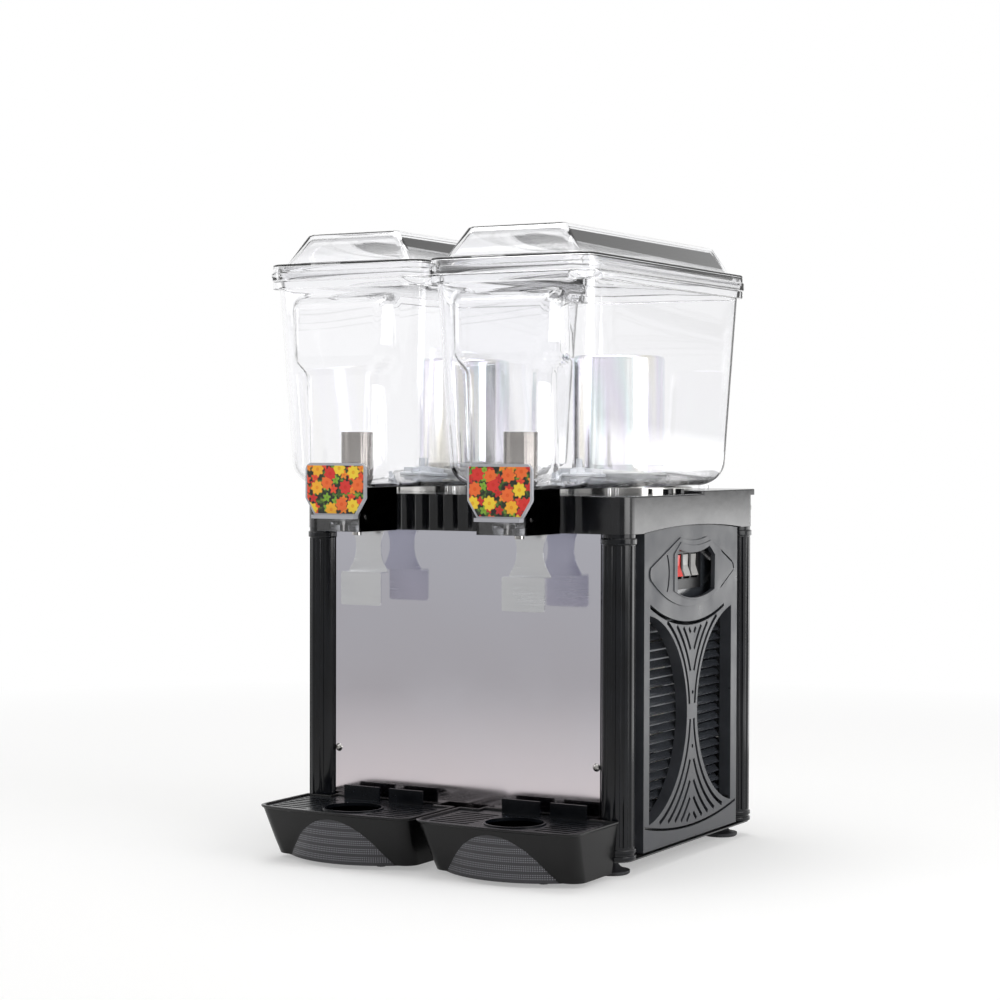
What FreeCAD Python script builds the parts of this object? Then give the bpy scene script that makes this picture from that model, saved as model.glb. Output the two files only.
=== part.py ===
import FreeCAD, Part
import Sketcher
import math
import os

# Twin-bowl cold drink dispenser. Millimetres, +Z up, front towards -Y.
# Drawn about the middle of the cabinet's plan; every placement then adds frame_shift along Y,
# which puts the origin under the middle of the whole object.

doc = FreeCAD.newDocument("juice_dispenser")
sheet = doc.addObject("Spreadsheet::Sheet", "Sizes")
NODES = []


class Size:
    """A length: the number it has now and the formula over the sheet that gives it."""

    def __init__(self, number, text):
        self.number = float(number)
        self.text = text

    @staticmethod
    def of(value):
        if isinstance(value, Size):
            return value
        return Size(value, "(%.6g)" % value)

    def join(self, other, sign, number):
        return Size(number, "(%s %s %s)" % (self.text, sign, other.text))

    def __add__(self, other):
        other = Size.of(other)
        return self.join(other, "+", self.number + other.number)

    def __radd__(self, other):
        return Size.of(other) + self

    def __sub__(self, other):
        other = Size.of(other)
        return self.join(other, "-", self.number - other.number)

    def __rsub__(self, other):
        return Size.of(other) - self

    def __mul__(self, other):
        other = Size.of(other)
        return self.join(other, "*", self.number * other.number)

    def __rmul__(self, other):
        return Size.of(other) * self

    def __truediv__(self, other):
        other = Size.of(other)
        return self.join(other, "/", self.number / other.number)

    def __neg__(self):
        return Size.of(0) - self


def size(alias, number, meaning):
    """One row of the sheet."""
    row = 1
    while sheet.getContents("A%d" % row):
        row += 1
    sheet.set("A%d" % row, meaning)
    sheet.set("B%d" % row, str(number))
    sheet.setAlias("B%d" % row, alias)
    return Size(number, "Sizes." + alias)


def root(value):
    value = Size.of(value)
    return Size(math.sqrt(value.number), "sqrt(%s)" % value.text)


# Cabinet
post_span_x = size("post_span_x", 372, "between post centres, left to right")
post_span_y = size("post_span_y", 301.2, "between post centres, front to back")
post_radius = size("post_radius", 18, "post shaft radius")
ring_radius = size("ring_radius", 19.5, "rings at the post ends")
floor_plate_z = size("floor_plate_z", 16.5, "underside of the base pan")
sheet_steel = size("sheet_steel", 1.5, "sheet steel thickness")
deck_z = size("deck_z", 362, "underside of the deck, top of the posts")
deck_high = size("deck_high", 40, "deck height at the front")
deck_step = size("deck_step", 3.5, "rise of the deck's rear part")
deck_wall = size("deck_wall", 4.5, "deck wall")
deck_over = size("deck_over", 1, "deck edge beyond the post shaft")
foot_span_x = size("foot_span_x", 346.8, "between feet, left to right")
foot_span_y = size("foot_span_y", 281.2, "between feet, front to back")
foot_radius = size("foot_radius", 20, "foot radius on the counter")
panel_y = size("panel_y", 156.5, "front face of the front panel from the middle")
panel_half = size("panel_half", 167.7, "half width of front and rear panels")
side_panel_x = size("side_panel_x", 188, "outer face of the louvred side panels")
cover_x = size("cover_x", 202, "outer face of the side covers")
cover_half = size("cover_half", 121.5, "half length of the side covers")
cover_skin = size("cover_skin", 3, "side cover wall")
cover_arch = size("cover_arch", 6, "rise of the cover's arched top")

# Bowls, each drawn about its own upright plane
bowl_x = size("bowl_x", 101.7, "bowl plane from the middle")
evaporator_y = size("evaporator_y", 17, "evaporator axis")
evaporator_radius = size("evaporator_radius", 50, "evaporator radius")
evaporator_top = size("evaporator_top", 557, "evaporator top")
seal_radius = size("seal_radius", 53, "evaporator seal radius")
seal_play = size("seal_play", 0.4, "seal to bowl hole, radial")
bowl_floor = size("bowl_floor", 410, "underside of the bowl floor")
bowl_rim = size("bowl_rim", 626, "underside of the bowl flange")
bowl_wall = size("bowl_wall", 2.5, "bowl wall")
bowl_half = size("bowl_half", 96.2, "bowl half width under the flange")
bowl_front = size("bowl_front", 242, "bowl front under the flange")
bowl_rear = size("bowl_rear", 147.5, "bowl rear under the flange")
bowl_draft = size("bowl_draft", 12.4, "inward slope of the bowl walls over their height")
bay_front = size("bay_front", 254, "front of the bowl's front bay")
impeller_y = size("impeller_y", -75, "impeller axis")
tap_y = size("tap_y", -215, "tap axis")
barrel_bore = size("barrel_bore", 16, "tap barrel bore radius")
pivot_y = size("pivot_y", -246, "lever pivot")
pivot_z = size("pivot_z", 378, "height of lever pivot and lift pin")
pin_radius = size("pin_radius", 2, "pivot and lift pin radius")
pin_play = size("pin_play", 0.05, "running fit of pins in their holes")
lid_z = size("lid_z", 635, "lower edge of the lid skirt")
lid_high = size("lid_high", 51, "lid height")

# Drip trays
tray_rim = size("tray_rim", 61.4, "height of the tray rims")
tray_reach = size("tray_reach", 276, "front of the trays at the rim")
tray_gap = size("tray_gap", 3.6, "tray edge from the middle plane")
tray_outer = size("tray_outer", 196, "outer edge of the trays")
knob_reach = size("knob_reach", 190, "rear end of the thermostat knob")

# Smaller fits and features
screw_radius = size("screw_radius", 2, "thread radius of the M4 screws")
screw_x = size("screw_x", 163.5, "front and rear panel screws from the middle")
front_screw_z = size("front_screw_z", 114, "height of the front panel screws")
inlet_x = size("inlet_x", -110, "power inlet from the middle")
inlet_z = size("inlet_z", 62, "power inlet height")
switch_y0 = size("switch_y0", -25, "front edge of the switch opening")
switch_y1 = size("switch_y1", 47, "rear edge of the switch opening")
switch_z0 = size("switch_z0", 298, "lower edge of the switch opening")
switch_z1 = size("switch_z1", 347, "upper edge of the switch opening")
louvre_pitch = size("louvre_pitch", 10.2, "louvre pitch")
side_screw_y = size("side_screw_y", 127, "side panel screws from the middle")
side_screw_low = size("side_screw_low", 35, "height of the lower side screws")
side_screw_high = size("side_screw_high", 315, "height of the upper side screws")
waist_z = size("waist_z", 161, "height of the grille's narrow waist")
lens_centre = size("lens_centre", 127, "centre of the lens openings' inner arcs from the middle")
lens_radius = size("lens_radius", 114, "radius of the lens openings' inner arcs")
lens_front = size("lens_front", 108, "front edge of the front lens opening")
lens_rear = size("lens_rear", 105, "rear edge of the rear lens opening")
slot_width = size("slot_width", 4.4, "width of the fan slots")
slot_pitch = size("slot_pitch", 10, "pitch of the upper fan slots")
flute_pitch = size("flute_pitch", 18, "pitch of the scallops on the deck front")
flute_radius = size("flute_radius", 17.4, "radius of the scallops on the deck front")
arch_play = size("arch_play", 0.5, "gap between the covers' arched tops and the deck")
dish_radius = size("dish_radius", 83, "cooler base radius")
flange_radius = size("flange_radius", 60, "evaporator flange radius")
knob_x = size("knob_x", 181.5, "thermostat knob from the middle")
knob_z = size("knob_z", 383, "thermostat knob height")
dish_steel = size("dish_steel", 1.5, "cooler base sheet")
shell = size("shell", 1.2, "evaporator flange sheet")
core_bore = size("core_bore", 20, "bore of the foamed evaporator core")
shoulder = size("shoulder", 5, "evaporator top edge radius")
bay_half = size("bay_half", 45, "half width of the bay's lower part")
bay_wide = size("bay_wide", 60, "half width of the bay's upper part")
bay_shoulder = size("bay_shoulder", 532, "height where the bay widens")
bay_top = size("bay_top", 620, "top of the bay")
channel_half = size("channel_half", 29.5, "half width of the tap channel")
channel_rear = size("channel_rear", -180, "rear edge of the tap channel")
barrel_z = size("barrel_z", 369, "lower end of the tap barrel")
stem_z = size("stem_z", 376, "lower end of the piston stem")
spout_radius = size("spout_radius", 5.3, "spout tube radius")
spindle = size("spindle", 3, "impeller spindle radius")
motor_shaft = size("motor_shaft", 3, "stirrer motor shaft radius")
stem_radius = size("stem_radius", 6, "piston stem radius")
piston_radius = size("piston_radius", 16.5, "piston radius")
tray_floor = size("tray_floor", 5, "underside of the trays")
tray_wall = size("tray_wall", 2.5, "tray wall")
bulge_radius = size("bulge_radius", 171, "radius of the bulge on the tray fronts")
bulge_reach = size("bulge_reach", 268, "front of the bulge at its foot")
pack_y = size("pack_y", 25, "middle of the condenser and fan")
compressor_x = size("compressor_x", -100, "compressor axis")
core_x0 = size("core_x0", 72, "inner face of the condenser core")
core_x1 = size("core_x1", 158, "outer face of the condenser core")
core_half = size("core_half", 65, "half depth of the condenser core")
tube_radius = size("tube_radius", 4, "condenser tube radius")
fan_z = size("fan_z", 165, "fan axis height")
fan_x = size("fan_x", 52, "fan hub face")
fan_shaft = size("fan_shaft", 3, "fan shaft radius")
pipe_radius = size("pipe_radius", 4, "refrigerant pipe radius")
pipe_bend_z = size("pipe_bend_z", 330, "height of the pipes' level runs")
rocker_pitch = size("rocker_pitch", 20.2, "pitch of the rockers")
rocker_z = size("rocker_z", 321.5, "height of the rocker pins")
rocker_x = size("rocker_x", 183, "rocker pins from the middle")
rocker_half = size("rocker_half", 7.8, "half width of a rocker")
trunnion = size("trunnion", 1.5, "rocker pin radius")
shaft_radius = size("shaft_radius", 3, "thermostat shaft radius")
head_radius = size("head_radius", 4.5, "screw head radius")

half_x = post_span_x / 2
half_y = post_span_y / 2
frame_shift = (tray_reach - knob_reach) / 2
pan_top = floor_plate_z + sheet_steel
deck_top = deck_z + deck_high
deck_half_x = half_x + post_radius + deck_over - 0.5
deck_half_y = half_y + post_radius + deck_over - 0.1
corner = post_radius + deck_over
SIDES = (("left", -1), ("right", 1))


def vector(x, y, z):
    return FreeCAD.Vector(Size.of(x).number, Size.of(y).number, Size.of(z).number)


def place(thing, x=0, y=0, z=0, axis=(0, 0, 1), angle=0):
    """Puts a piece at x, y, z of the cabinet, turned by a fixed angle."""
    turn = FreeCAD.Rotation(FreeCAD.Vector(*axis), angle)
    along = Size.of(y) + frame_shift
    thing.Placement = FreeCAD.Placement(vector(x, along, z), turn)
    thing.setExpression(".Placement.Base.x", Size.of(x).text)
    thing.setExpression(".Placement.Base.y", along.text)
    thing.setExpression(".Placement.Base.z", Size.of(z).text)


def new_body(name, x=0, y=0, z=0, axis=(0, 0, 1), angle=0, node=True):
    body = doc.addObject("PartDesign::Body", name)
    body.Label = name
    place(body, x, y, z, axis, angle)
    if node:
        NODES.append(body)
    return body


def new_sketch(body, plane, level=0):
    """A sketch on one of the body's own planes, level along the plane's normal."""
    drawing = body.newObject("Sketcher::SketchObject", body.Name + "_sketch")
    support = [part for part in body.Origin.OriginFeatures if part.Role == plane + "_Plane"]
    drawing.AttachmentSupport = [(support[0], "")]
    drawing.MapMode = "FlatFace"
    drawing.AttachmentOffset = FreeCAD.Placement(vector(0, 0, level), FreeCAD.Rotation())
    drawing.setExpression(".AttachmentOffset.Base.z", Size.of(level).text)
    return drawing


def apply(drawing, rules):
    """Adds constraints in one go. A rule is (kind, items...) with a Size last when it is driven."""
    plain = []
    for rule in rules:
        plain.append(Sketcher.Constraint(*[
            part.number if isinstance(part, Size) else part for part in rule]))
    places = drawing.addConstraint(plain)
    for place_in_sketch, rule in zip(places, rules):
        if isinstance(rule[-1], Size):
            drawing.setExpression("Constraints[%d]" % place_in_sketch, rule[-1].text)


def arc_between(first, last, radius):
    """The shorter arc of a radius, counter-clockwise from first to last."""
    middle = (first + last) * 0.5
    chord = last - first
    reach = math.sqrt(max(radius * radius - chord.Length ** 2 / 4, 0))
    side = FreeCAD.Vector(-chord.y, chord.x, 0).normalize()
    centre = middle + side * reach
    start = math.atan2(first.y - centre.y, first.x - centre.x)
    stop = math.atan2(last.y - centre.y, last.x - centre.x)
    circle = Part.Circle(centre, FreeCAD.Vector(0, 0, 1), radius)
    return Part.ArcOfCircle(circle, start, stop)


def outline(*corners):
    """A closed outline. A corner is (u, v) or (u, v, radius): the radius bends the run that
    follows, counter-clockwise when positive, clockwise when negative."""

    def draw(drawing):
        items = []
        rules = []
        spots = [vector(corner[0], corner[1], 0) for corner in corners]
        for index, corner in enumerate(corners):
            here = spots[index]
            following = spots[(index + 1) % len(spots)]
            radius = Size.of(corner[2]) if len(corner) > 2 else None
            start = 1
            if radius is None:
                item = drawing.addGeometry(Part.LineSegment(here, following))
            elif radius.number > 0:
                item = drawing.addGeometry(arc_between(here, following, radius.number))
                rules.append(("Radius", item, radius))
            else:
                start = 2
                item = drawing.addGeometry(arc_between(following, here, -radius.number))
                rules.append(("Radius", item, -radius))
            items.append((item, start))
            rules.append(("DistanceX", item, start, Size.of(corner[0])))
            rules.append(("DistanceY", item, start, Size.of(corner[1])))
        for index, (item, start) in enumerate(items):
            other, other_start = items[(index + 1) % len(items)]
            rules.append(("Coincident", item, 3 - start, other, other_start))
        apply(drawing, rules)

    return draw


def rectangle(u0, u1, v0, v1):
    return outline((u0, v0), (u1, v0), (u1, v1), (u0, v1))


def rounded(u0, u1, v0, v1, radius):
    """A rectangle with round corners."""
    return outline(
        (u0 + radius, v0),
        (u1 - radius, v0, radius),
        (u1, v0 + radius),
        (u1, v1 - radius, radius),
        (u1 - radius, v1),
        (u0 + radius, v1, radius),
        (u0, v1 - radius),
        (u0, v0 + radius, radius),
    )


def disc(u, v, radius):
    def draw(drawing):
        spot = vector(u, v, 0)
        ring = Part.Circle(spot, FreeCAD.Vector(0, 0, 1), Size.of(radius).number)
        item = drawing.addGeometry(ring)
        apply(drawing, [
            ("DistanceX", item, 3, Size.of(u)),
            ("DistanceY", item, 3, Size.of(v)),
            ("Radius", item, Size.of(radius)),
        ])

    return draw


def several(*draws):
    def draw(drawing):
        for each in draws:
            each(drawing)

    return draw


def extrude(body, axis, low, high, draw, cut=False, taper=None):
    """Adds or cuts an outline between two levels of an axis. The outline's two directions are
    X and Y for axis z, X and Z for axis y, Y and Z for axis x."""
    plane = {"z": "XY", "y": "XZ", "x": "YZ"}[axis]
    level = -Size.of(high) if axis == "y" else low
    drawing = new_sketch(body, plane, level)
    draw(drawing)
    doc.recompute()
    before = body.Shape.Volume if cut else 0
    kind = "PartDesign::Pocket" if cut else "PartDesign::Pad"
    feature = body.newObject(kind, body.Name + ("_cut" if cut else "_pad"))
    feature.Profile = (drawing, [""])
    length = Size.of(high) - low
    feature.Length = length.number
    feature.setExpression("Length", length.text)
    feature.Reversed = cut
    if taper is not None:
        feature.TaperAngle = Size.of(taper).number
        feature.setExpression("TaperAngle", Size.of(taper).text)
    body.Tip = feature
    doc.recompute()
    if cut and not body.Shape.Volume < before - 0.01:
        raise RuntimeError("nothing was cut from " + body.Name)
    return feature


def revolve(body, draw, cut=False):
    """Turns an outline drawn in X and Z about the body's upright axis."""
    drawing = new_sketch(body, "XZ")
    draw(drawing)
    doc.recompute()
    before = body.Shape.Volume if cut else 0
    kind = "PartDesign::Groove" if cut else "PartDesign::Revolution"
    feature = body.newObject(kind, body.Name + ("_groove" if cut else "_turned"))
    feature.Profile = (drawing, [""])
    feature.ReferenceAxis = (drawing, ["V_Axis"])
    feature.Angle = 360
    body.Tip = feature
    doc.recompute()
    if cut and not body.Shape.Volume < before - 0.01:
        raise RuntimeError("nothing was cut from " + body.Name)
    return feature


def row(body, feature, axis, count, pitch):
    """Repeats a feature along an axis of the body."""
    pattern = body.newObject("PartDesign::LinearPattern", body.Name + "_row")
    pattern.Originals = [feature]
    line = [part for part in body.Origin.OriginFeatures if part.Role == axis + "_Axis"][0]
    pattern.Direction = (line, [""])
    length = Size.of(pitch) * (count - 1)
    pattern.Length = length.number
    pattern.setExpression("Length", length.text)
    pattern.Occurrences = count
    body.Tip = pattern
    doc.recompute()
    return pattern


def around(body, feature, count, angle=360):
    """Repeats a feature about the body's upright axis."""
    pattern = body.newObject("PartDesign::PolarPattern", body.Name + "_around")
    pattern.Originals = [feature]
    line = [part for part in body.Origin.OriginFeatures if part.Role == "Z_Axis"][0]
    pattern.Axis = (line, [""])
    pattern.Angle = angle
    pattern.Occurrences = count
    body.Tip = pattern
    doc.recompute()
    return pattern


def soften(body, radius, test, kind="PartDesign::Fillet"):
    """Rounds the edges of the body that pass a test on their middle point and ends."""
    base = body.Tip
    names = []
    for index, edge in enumerate(base.Shape.Edges):
        box = edge.BoundBox
        if test(box):
            names.append("Edge%d" % (index + 1))
    if not names:
        raise RuntimeError("no edge to round on " + body.Name)
    feature = body.newObject(kind, body.Name + "_soft")
    feature.Base = (base, names)
    feature.Radius = Size.of(radius).number
    feature.setExpression("Radius", Size.of(radius).text)
    body.Tip = feature
    doc.recompute()
    return feature


def twin(name, body, across=0, angle=0):
    """The same piece again, moved along X or turned half round the cabinet's middle."""
    copy = doc.addObject("Part::Compound", name)
    copy.Label = name
    copy.Links = [body]
    along = frame_shift * (2 if angle else 0)
    copy.Placement = FreeCAD.Placement(
        vector(across, along, 0), FreeCAD.Rotation(FreeCAD.Vector(0, 0, 1), angle))
    copy.setExpression(".Placement.Base.x", Size.of(across).text)
    copy.setExpression(".Placement.Base.y", Size.of(along).text)
    NODES.append(copy)
    return copy


def group(name, bodies):
    """Identical pieces that share one node."""
    whole = doc.addObject("Part::Compound", name)
    whole.Label = name
    whole.Links = bodies
    NODES.append(whole)
    return whole


def flipped(corners):
    """The same outline mirrored left to right, still counter-clockwise."""
    result = []
    count = len(corners)
    for index in range(count):
        corner = corners[(count - index) % count]
        before = corners[(count - index - 1) % count]
        bend = before[2:]
        result.append((-Size.of(corner[0]), corner[1]) + tuple(bend))
    return result


def sided(side, corners):
    if side > 0:
        return outline(*corners)
    return outline(*flipped(corners))


# Base pan: plate under the posts with upturned flanges for the panels.
panel_back = panel_y - sheet_steel
side_panel_in = side_panel_x - sheet_steel
pan_half_x = half_x + post_radius - 1
pan_half_y = half_y + post_radius - 1
pan = new_body("base_pan")
extrude(pan, "z", floor_plate_z, pan_top, rounded(-pan_half_x, pan_half_x, -pan_half_y, pan_half_y, 17))
extrude(pan, "z", floor_plate_z, pan_top, rectangle(-panel_half, panel_half, -pan_half_y - 1, -panel_y), cut=True)
extrude(pan, "z", floor_plate_z, pan_top, rectangle(-panel_half, panel_half, panel_y, pan_half_y + 1), cut=True)
flange_top = pan_top + 27
extrude(pan, "z", pan_top, flange_top, several(
    rectangle(-160, 160, -panel_back, -panel_back + sheet_steel),
    rectangle(-160, 160, panel_back - sheet_steel, panel_back),
    rectangle(side_panel_in - sheet_steel, side_panel_in, -120, 120),
    rectangle(-side_panel_in, -side_panel_in + sheet_steel, -120, 120),
))

# Feet
feet = []
for across in (-1, 1):
    for along in (-1, 1):
        foot = new_body("foot", across * foot_span_x / 2, along * foot_span_y / 2, 0, node=False)
        revolve(foot, outline(
            (0, 0),
            (foot_radius - 1.5, 0),
            (foot_radius, 1.5),
            (foot_radius, 4, -14),
            (7.5, 11),
            (7.5, floor_plate_z),
            (0, floor_plate_z),
        ))
        feet.append(foot)
group("feet", feet)

# Posts: fluted tubes with rings at both ends, plain on the side towards the panels.
for name, across, along, turned in (
    ("post_front_left", -1, -1, 50),
    ("post_front_right", 1, -1, -110),
    ("post_rear_left", -1, 1, 70),
    ("post_rear_right", 1, 1, -130),
):
    post = new_body(name, across * half_x, along * half_y, 0, angle=turned)
    extrude(post, "z", pan_top, deck_z, disc(0, 0, post_radius))
    flute = extrude(post, "z", pan_top + 14, deck_z - 12, disc(post_radius + 1.4, 0, 3), cut=True)
    around(post, flute, 9, 240)
    extrude(post, "z", deck_z - 11, deck_z - 4, disc(0, 0, ring_radius))
    extrude(post, "z", pan_top, pan_top + 5, disc(0, 0, ring_radius))
    extrude(post, "z", pan_top + 7, pan_top + 12, disc(0, 0, ring_radius))
    soften(post, 1.4, lambda box: box.XLength > 38.5 and box.ZLength < 0.1)

# Front and rear panels
screw_hole = screw_radius + 0.2
front = new_body("front_panel")
extrude(front, "y", -panel_y, -panel_back, rectangle(-panel_half, panel_half, pan_top, deck_z + 4))
extrude(front, "y", -panel_y, -panel_back, several(
    disc(-screw_x, front_screw_z, screw_hole),
    disc(screw_x, front_screw_z, screw_hole),
), cut=True)

rear = new_body("rear_panel")
extrude(rear, "y", panel_back, panel_y, rectangle(-panel_half, panel_half, pan_top, deck_z + 4))
extrude(rear, "y", panel_back, panel_y, several(
    disc(-screw_x, front_screw_z, screw_hole),
    disc(screw_x, front_screw_z, screw_hole),
    disc(-screw_x, deck_z - 50, screw_hole),
    disc(screw_x, deck_z - 50, screw_hole),
    rectangle(inlet_x - 14, inlet_x + 14, inlet_z - 10, inlet_z + 10),
), cut=True)
vent = extrude(rear, "y", panel_back, panel_y, several(
    rounded(-130, -10, 110, 114, 1.9),
    rounded(10, 130, 110, 114, 1.9),
), cut=True)
row(rear, vent, "Z", 16, 12)

# Louvred side panels between the posts
side_panel_half = half_y - ring_radius - 0.4
for name, side in SIDES:
    louvre = new_body("side_louvre_" + name, angle=0 if side > 0 else 180)
    extrude(louvre, "x", side_panel_in, side_panel_x,
            rectangle(-side_panel_half, side_panel_half, pan_top, deck_z - 0.5))
    window = several(
        rectangle(-107, 107, 48, 273),
        disc(-side_screw_y, side_screw_low, screw_hole),
        disc(side_screw_y, side_screw_low, screw_hole),
        disc(-side_screw_y, side_screw_high, screw_hole),
        disc(side_screw_y, side_screw_high, screw_hole),
    )
    extrude(louvre, "x", side_panel_in, side_panel_x, window, cut=True)
    if side > 0:
        extrude(louvre, "x", side_panel_in, side_panel_x,
                rectangle(switch_y0, switch_y1, switch_z0, switch_z1), cut=True)
    slat = extrude(louvre, "y", -107.5, 107.5, outline(
        (side_panel_in - 6, 56.2),
        (side_panel_x - 1, 50),
        (side_panel_x, 50.9),
        (side_panel_in - 5.6, 57.4),
    ))
    row(louvre, slat, "Z", 22, louvre_pitch)


# Side covers: one moulding, the left one turned half round.
cover_low = pan_top + 2.5
cover_face = cover_x - cover_skin
arch_radius = (cover_half * cover_half + cover_arch * cover_arch) / (cover_arch * 2)


def lens_reach(edge, radius):
    """Half height of a lens arc where it meets an upright edge."""
    gap = lens_centre - edge
    return root(radius * radius - gap * gap)


def fan_slot(middle, upward, inner, reach):
    """A slot along an arc about one of the lens centres, from the middle rib out to a height."""
    outer = inner + slot_width
    radius = (inner + outer).number / 2
    low = max(math.degrees(math.acos(min((lens_centre.number - 4.6) / radius, 1))), 4)
    high = math.degrees(math.asin(reach / radius))
    side = 1 if middle < 0 else -1
    spots = []
    for radius, angle in ((inner, low), (outer, low), (outer, high), (inner, high)):
        across = radius * (side * math.cos(math.radians(angle)))
        rise = radius * (upward * math.sin(math.radians(angle)))
        spots.append((lens_centre * middle + across, waist_z + rise))
    bends = (None, outer, None, -inner)
    if side * upward < 0:
        spots = [spots[0], spots[3], spots[2], spots[1]]
        bends = (-inner, None, outer, None)
    corners = []
    for spot, bend in zip(spots, bends):
        corners.append(spot if bend is None else spot + (bend,))
    return outline(*corners)


eye = outline(
    (-33, 355),
    (-107, 324.5, 9.5),
    (-104, 309.5, 178),
    (-9, 278, 178),
    (74, 296),
    (110, 313, 7),
    (106, 323),
    (35, 354, -167),
)
shield = outline(
    (-33, 350),
    (-51, 337.5),
    (-51, 297, 165),
    (60, 292),
    (62, 336),
    (43, 349.5, -167),
)
window = outline(
    (-38, 342),
    (-43, 338),
    (-43, 294.5, 165),
    (54.7, 294.5),
    (55.6, 333),
    (41, 343.5, -150),
)
cover = new_body("side_cover_right")
extrude(cover, "x", cover_face, cover_x, outline(
    (-cover_half, cover_low),
    (cover_half, cover_low),
    (cover_half, deck_z, arch_radius),
    (-cover_half, deck_z),
))
extrude(cover, "x", side_panel_x, cover_face, several(
    outline(
        (-cover_half, cover_low),
        (cover_half, cover_low),
        (cover_half, deck_z, arch_radius),
        (-cover_half, deck_z),
    ),
    outline(
        (-cover_half + cover_skin, cover_low + cover_skin),
        (cover_half - cover_skin, cover_low + cover_skin),
        (cover_half - cover_skin, deck_z - cover_skin, arch_radius),
        (-cover_half + cover_skin, deck_z - cover_skin),
    ),
))
lens_low = waist_z - lens_reach(lens_front, lens_radius)
lens_high = waist_z + lens_reach(lens_front, lens_radius)
rear_low = waist_z - lens_reach(lens_rear, lens_radius)
rear_high = waist_z + lens_reach(lens_rear, lens_radius)
band = lens_radius + 2
band_front = lens_reach(lens_front, band)
band_rear = lens_reach(lens_rear, band)
extrude(cover, "x", side_panel_x, cover_face, several(
    rectangle(lens_rear, lens_rear + 2, rear_low + 4, rear_high - 4),
    outline(
        (-lens_front, lens_low, lens_radius),
        (-lens_front, lens_high),
        (-lens_front, waist_z + band_front, -band),
        (-lens_front, waist_z - band_front),
    ),
    outline(
        (lens_rear, rear_high, lens_radius),
        (lens_rear, rear_low),
        (lens_rear, waist_z - band_rear, -band),
        (lens_rear, waist_z + band_rear),
    ),
))
extrude(cover, "x", cover_x, cover_x + 1.2, eye)
extrude(cover, "x", cover_x + 1.2, cover_x + 2, shield)
extrude(cover, "x", cover_face, cover_x + 3, several(
    window,
    outline((-66.5, 297, 42), (-66.5, 337), (-69.5, 337, -42), (-69.5, 297)),
    outline(
        (75, 294),
        (111.5, 313),
        (107, 324),
        (76, 338),
        (75, 335.4),
        (105, 321.6),
        (108.3, 314.2),
        (74, 296.6),
    ),
    outline((-107, 281, 247), (85, 273), (85, 276.5, -247), (-107, 285.5)),
    outline((-118.8, 45.6, 560), (118.8, 45.6), (118.8, 48.4, -560), (-118.8, 48.4)),
), cut=True)
extrude(cover, "x", cover_face, cover_x, several(
    outline(
        (-lens_front, lens_low, lens_radius),
        (-lens_front, lens_high),
    ),
    outline(
        (lens_rear, rear_high, lens_radius),
        (lens_rear, rear_low),
    ),
    disc(1.5, waist_z + 21, 2.2),
    disc(1.5, waist_z - 39, 2.2),
), cut=True)
slots = []
for middle in (-1, 1):
    for number in range(4):
        reach = (103, 97, 94.5, 93)[number]
        slots.append(fan_slot(middle, 1, lens_radius + 4.2 + slot_pitch * number, reach))
    for number in range(5):
        reach = 114 + 1.8 * number
        slots.append(fan_slot(middle, -1, lens_radius + 6.4 + (slot_pitch + 1) * number, reach))
extrude(cover, "x", cover_face, cover_x, several(*slots), cut=True)
twin("side_cover_left", cover, angle=180)


# Deck: one shell over the posts, open underneath inside a lip.
cavity_z = deck_z + 3
skin_z = deck_top - 3.5
deck = new_body("deck")
extrude(deck, "z", deck_z, deck_top, rounded(-deck_half_x, deck_half_x, -deck_half_y, deck_half_y, corner))
soften(deck, 1.5, lambda box: box.ZMin > deck_top.number - 0.01)
extrude(deck, "z", skin_z, deck_top + deck_step,
        rounded(-deck_half_x, deck_half_x, evaporator_y + 3, deck_half_y, 6))
soften(deck, 1.2, lambda box: box.ZMin > deck_top.number + 1)
extrude(deck, "z", cavity_z, skin_z, rounded(
    -deck_half_x + deck_wall, deck_half_x - deck_wall,
    -deck_half_y + deck_wall, deck_half_y - deck_wall, corner - deck_wall), cut=True)
extrude(deck, "z", deck_z, cavity_z,
        rectangle(-half_x + 2, half_x - 2, -panel_back + 3, panel_back - 3), cut=True)
scallop = extrude(deck, "z", deck_z, deck_top,
                  disc(flute_pitch * -8.5, -deck_half_y - flute_radius + 2.5, flute_radius), cut=True)
row(deck, scallop, "X", 18, flute_pitch)
arch_span = cover_half + 5
deck_arch = (arch_span * arch_span + cover_arch * cover_arch) / (cover_arch * 2)
for side in (-1, 1):
    low = side_panel_in - 0.3 if side > 0 else -deck_half_x - 1
    high = deck_half_x + 1 if side > 0 else -side_panel_in + 0.3
    extrude(deck, "x", low, high, outline(
        (-arch_span, deck_z - 1),
        (arch_span, deck_z - 1),
        (arch_span, deck_z + arch_play, deck_arch),
        (-arch_span, deck_z + arch_play),
    ), cut=True)
extrude(deck, "z", deck_top, deck_top + deck_step, several(
    disc(-bowl_x, evaporator_y, dish_radius + 0.4),
    disc(bowl_x, evaporator_y, dish_radius + 0.4),
), cut=True)
extrude(deck, "z", skin_z, deck_top, several(
    disc(-bowl_x, evaporator_y, evaporator_radius - 4),
    disc(bowl_x, evaporator_y, evaporator_radius - 4),
), cut=True)
extrude(deck, "z", deck_top, deck_top + 6, several(
    rectangle(186, 193, -44, -36),
    rectangle(186, 193, -12, -4),
    rectangle(-193, -186, -44, -36),
    rectangle(-193, -186, -12, -4),
))
panel_slot = several(
    rectangle(-panel_half - 0.3, panel_half + 0.3, -panel_y - 0.2, -panel_back + 3.1),
    rectangle(-panel_half - 0.3, panel_half + 0.3, panel_back - 3.1, panel_y + 0.2),
)
extrude(deck, "z", deck_z, cavity_z, panel_slot, cut=True)
extrude(deck, "y", deck_half_y - deck_wall, deck_half_y, disc(knob_x, knob_z, 5.2), cut=True)
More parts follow.
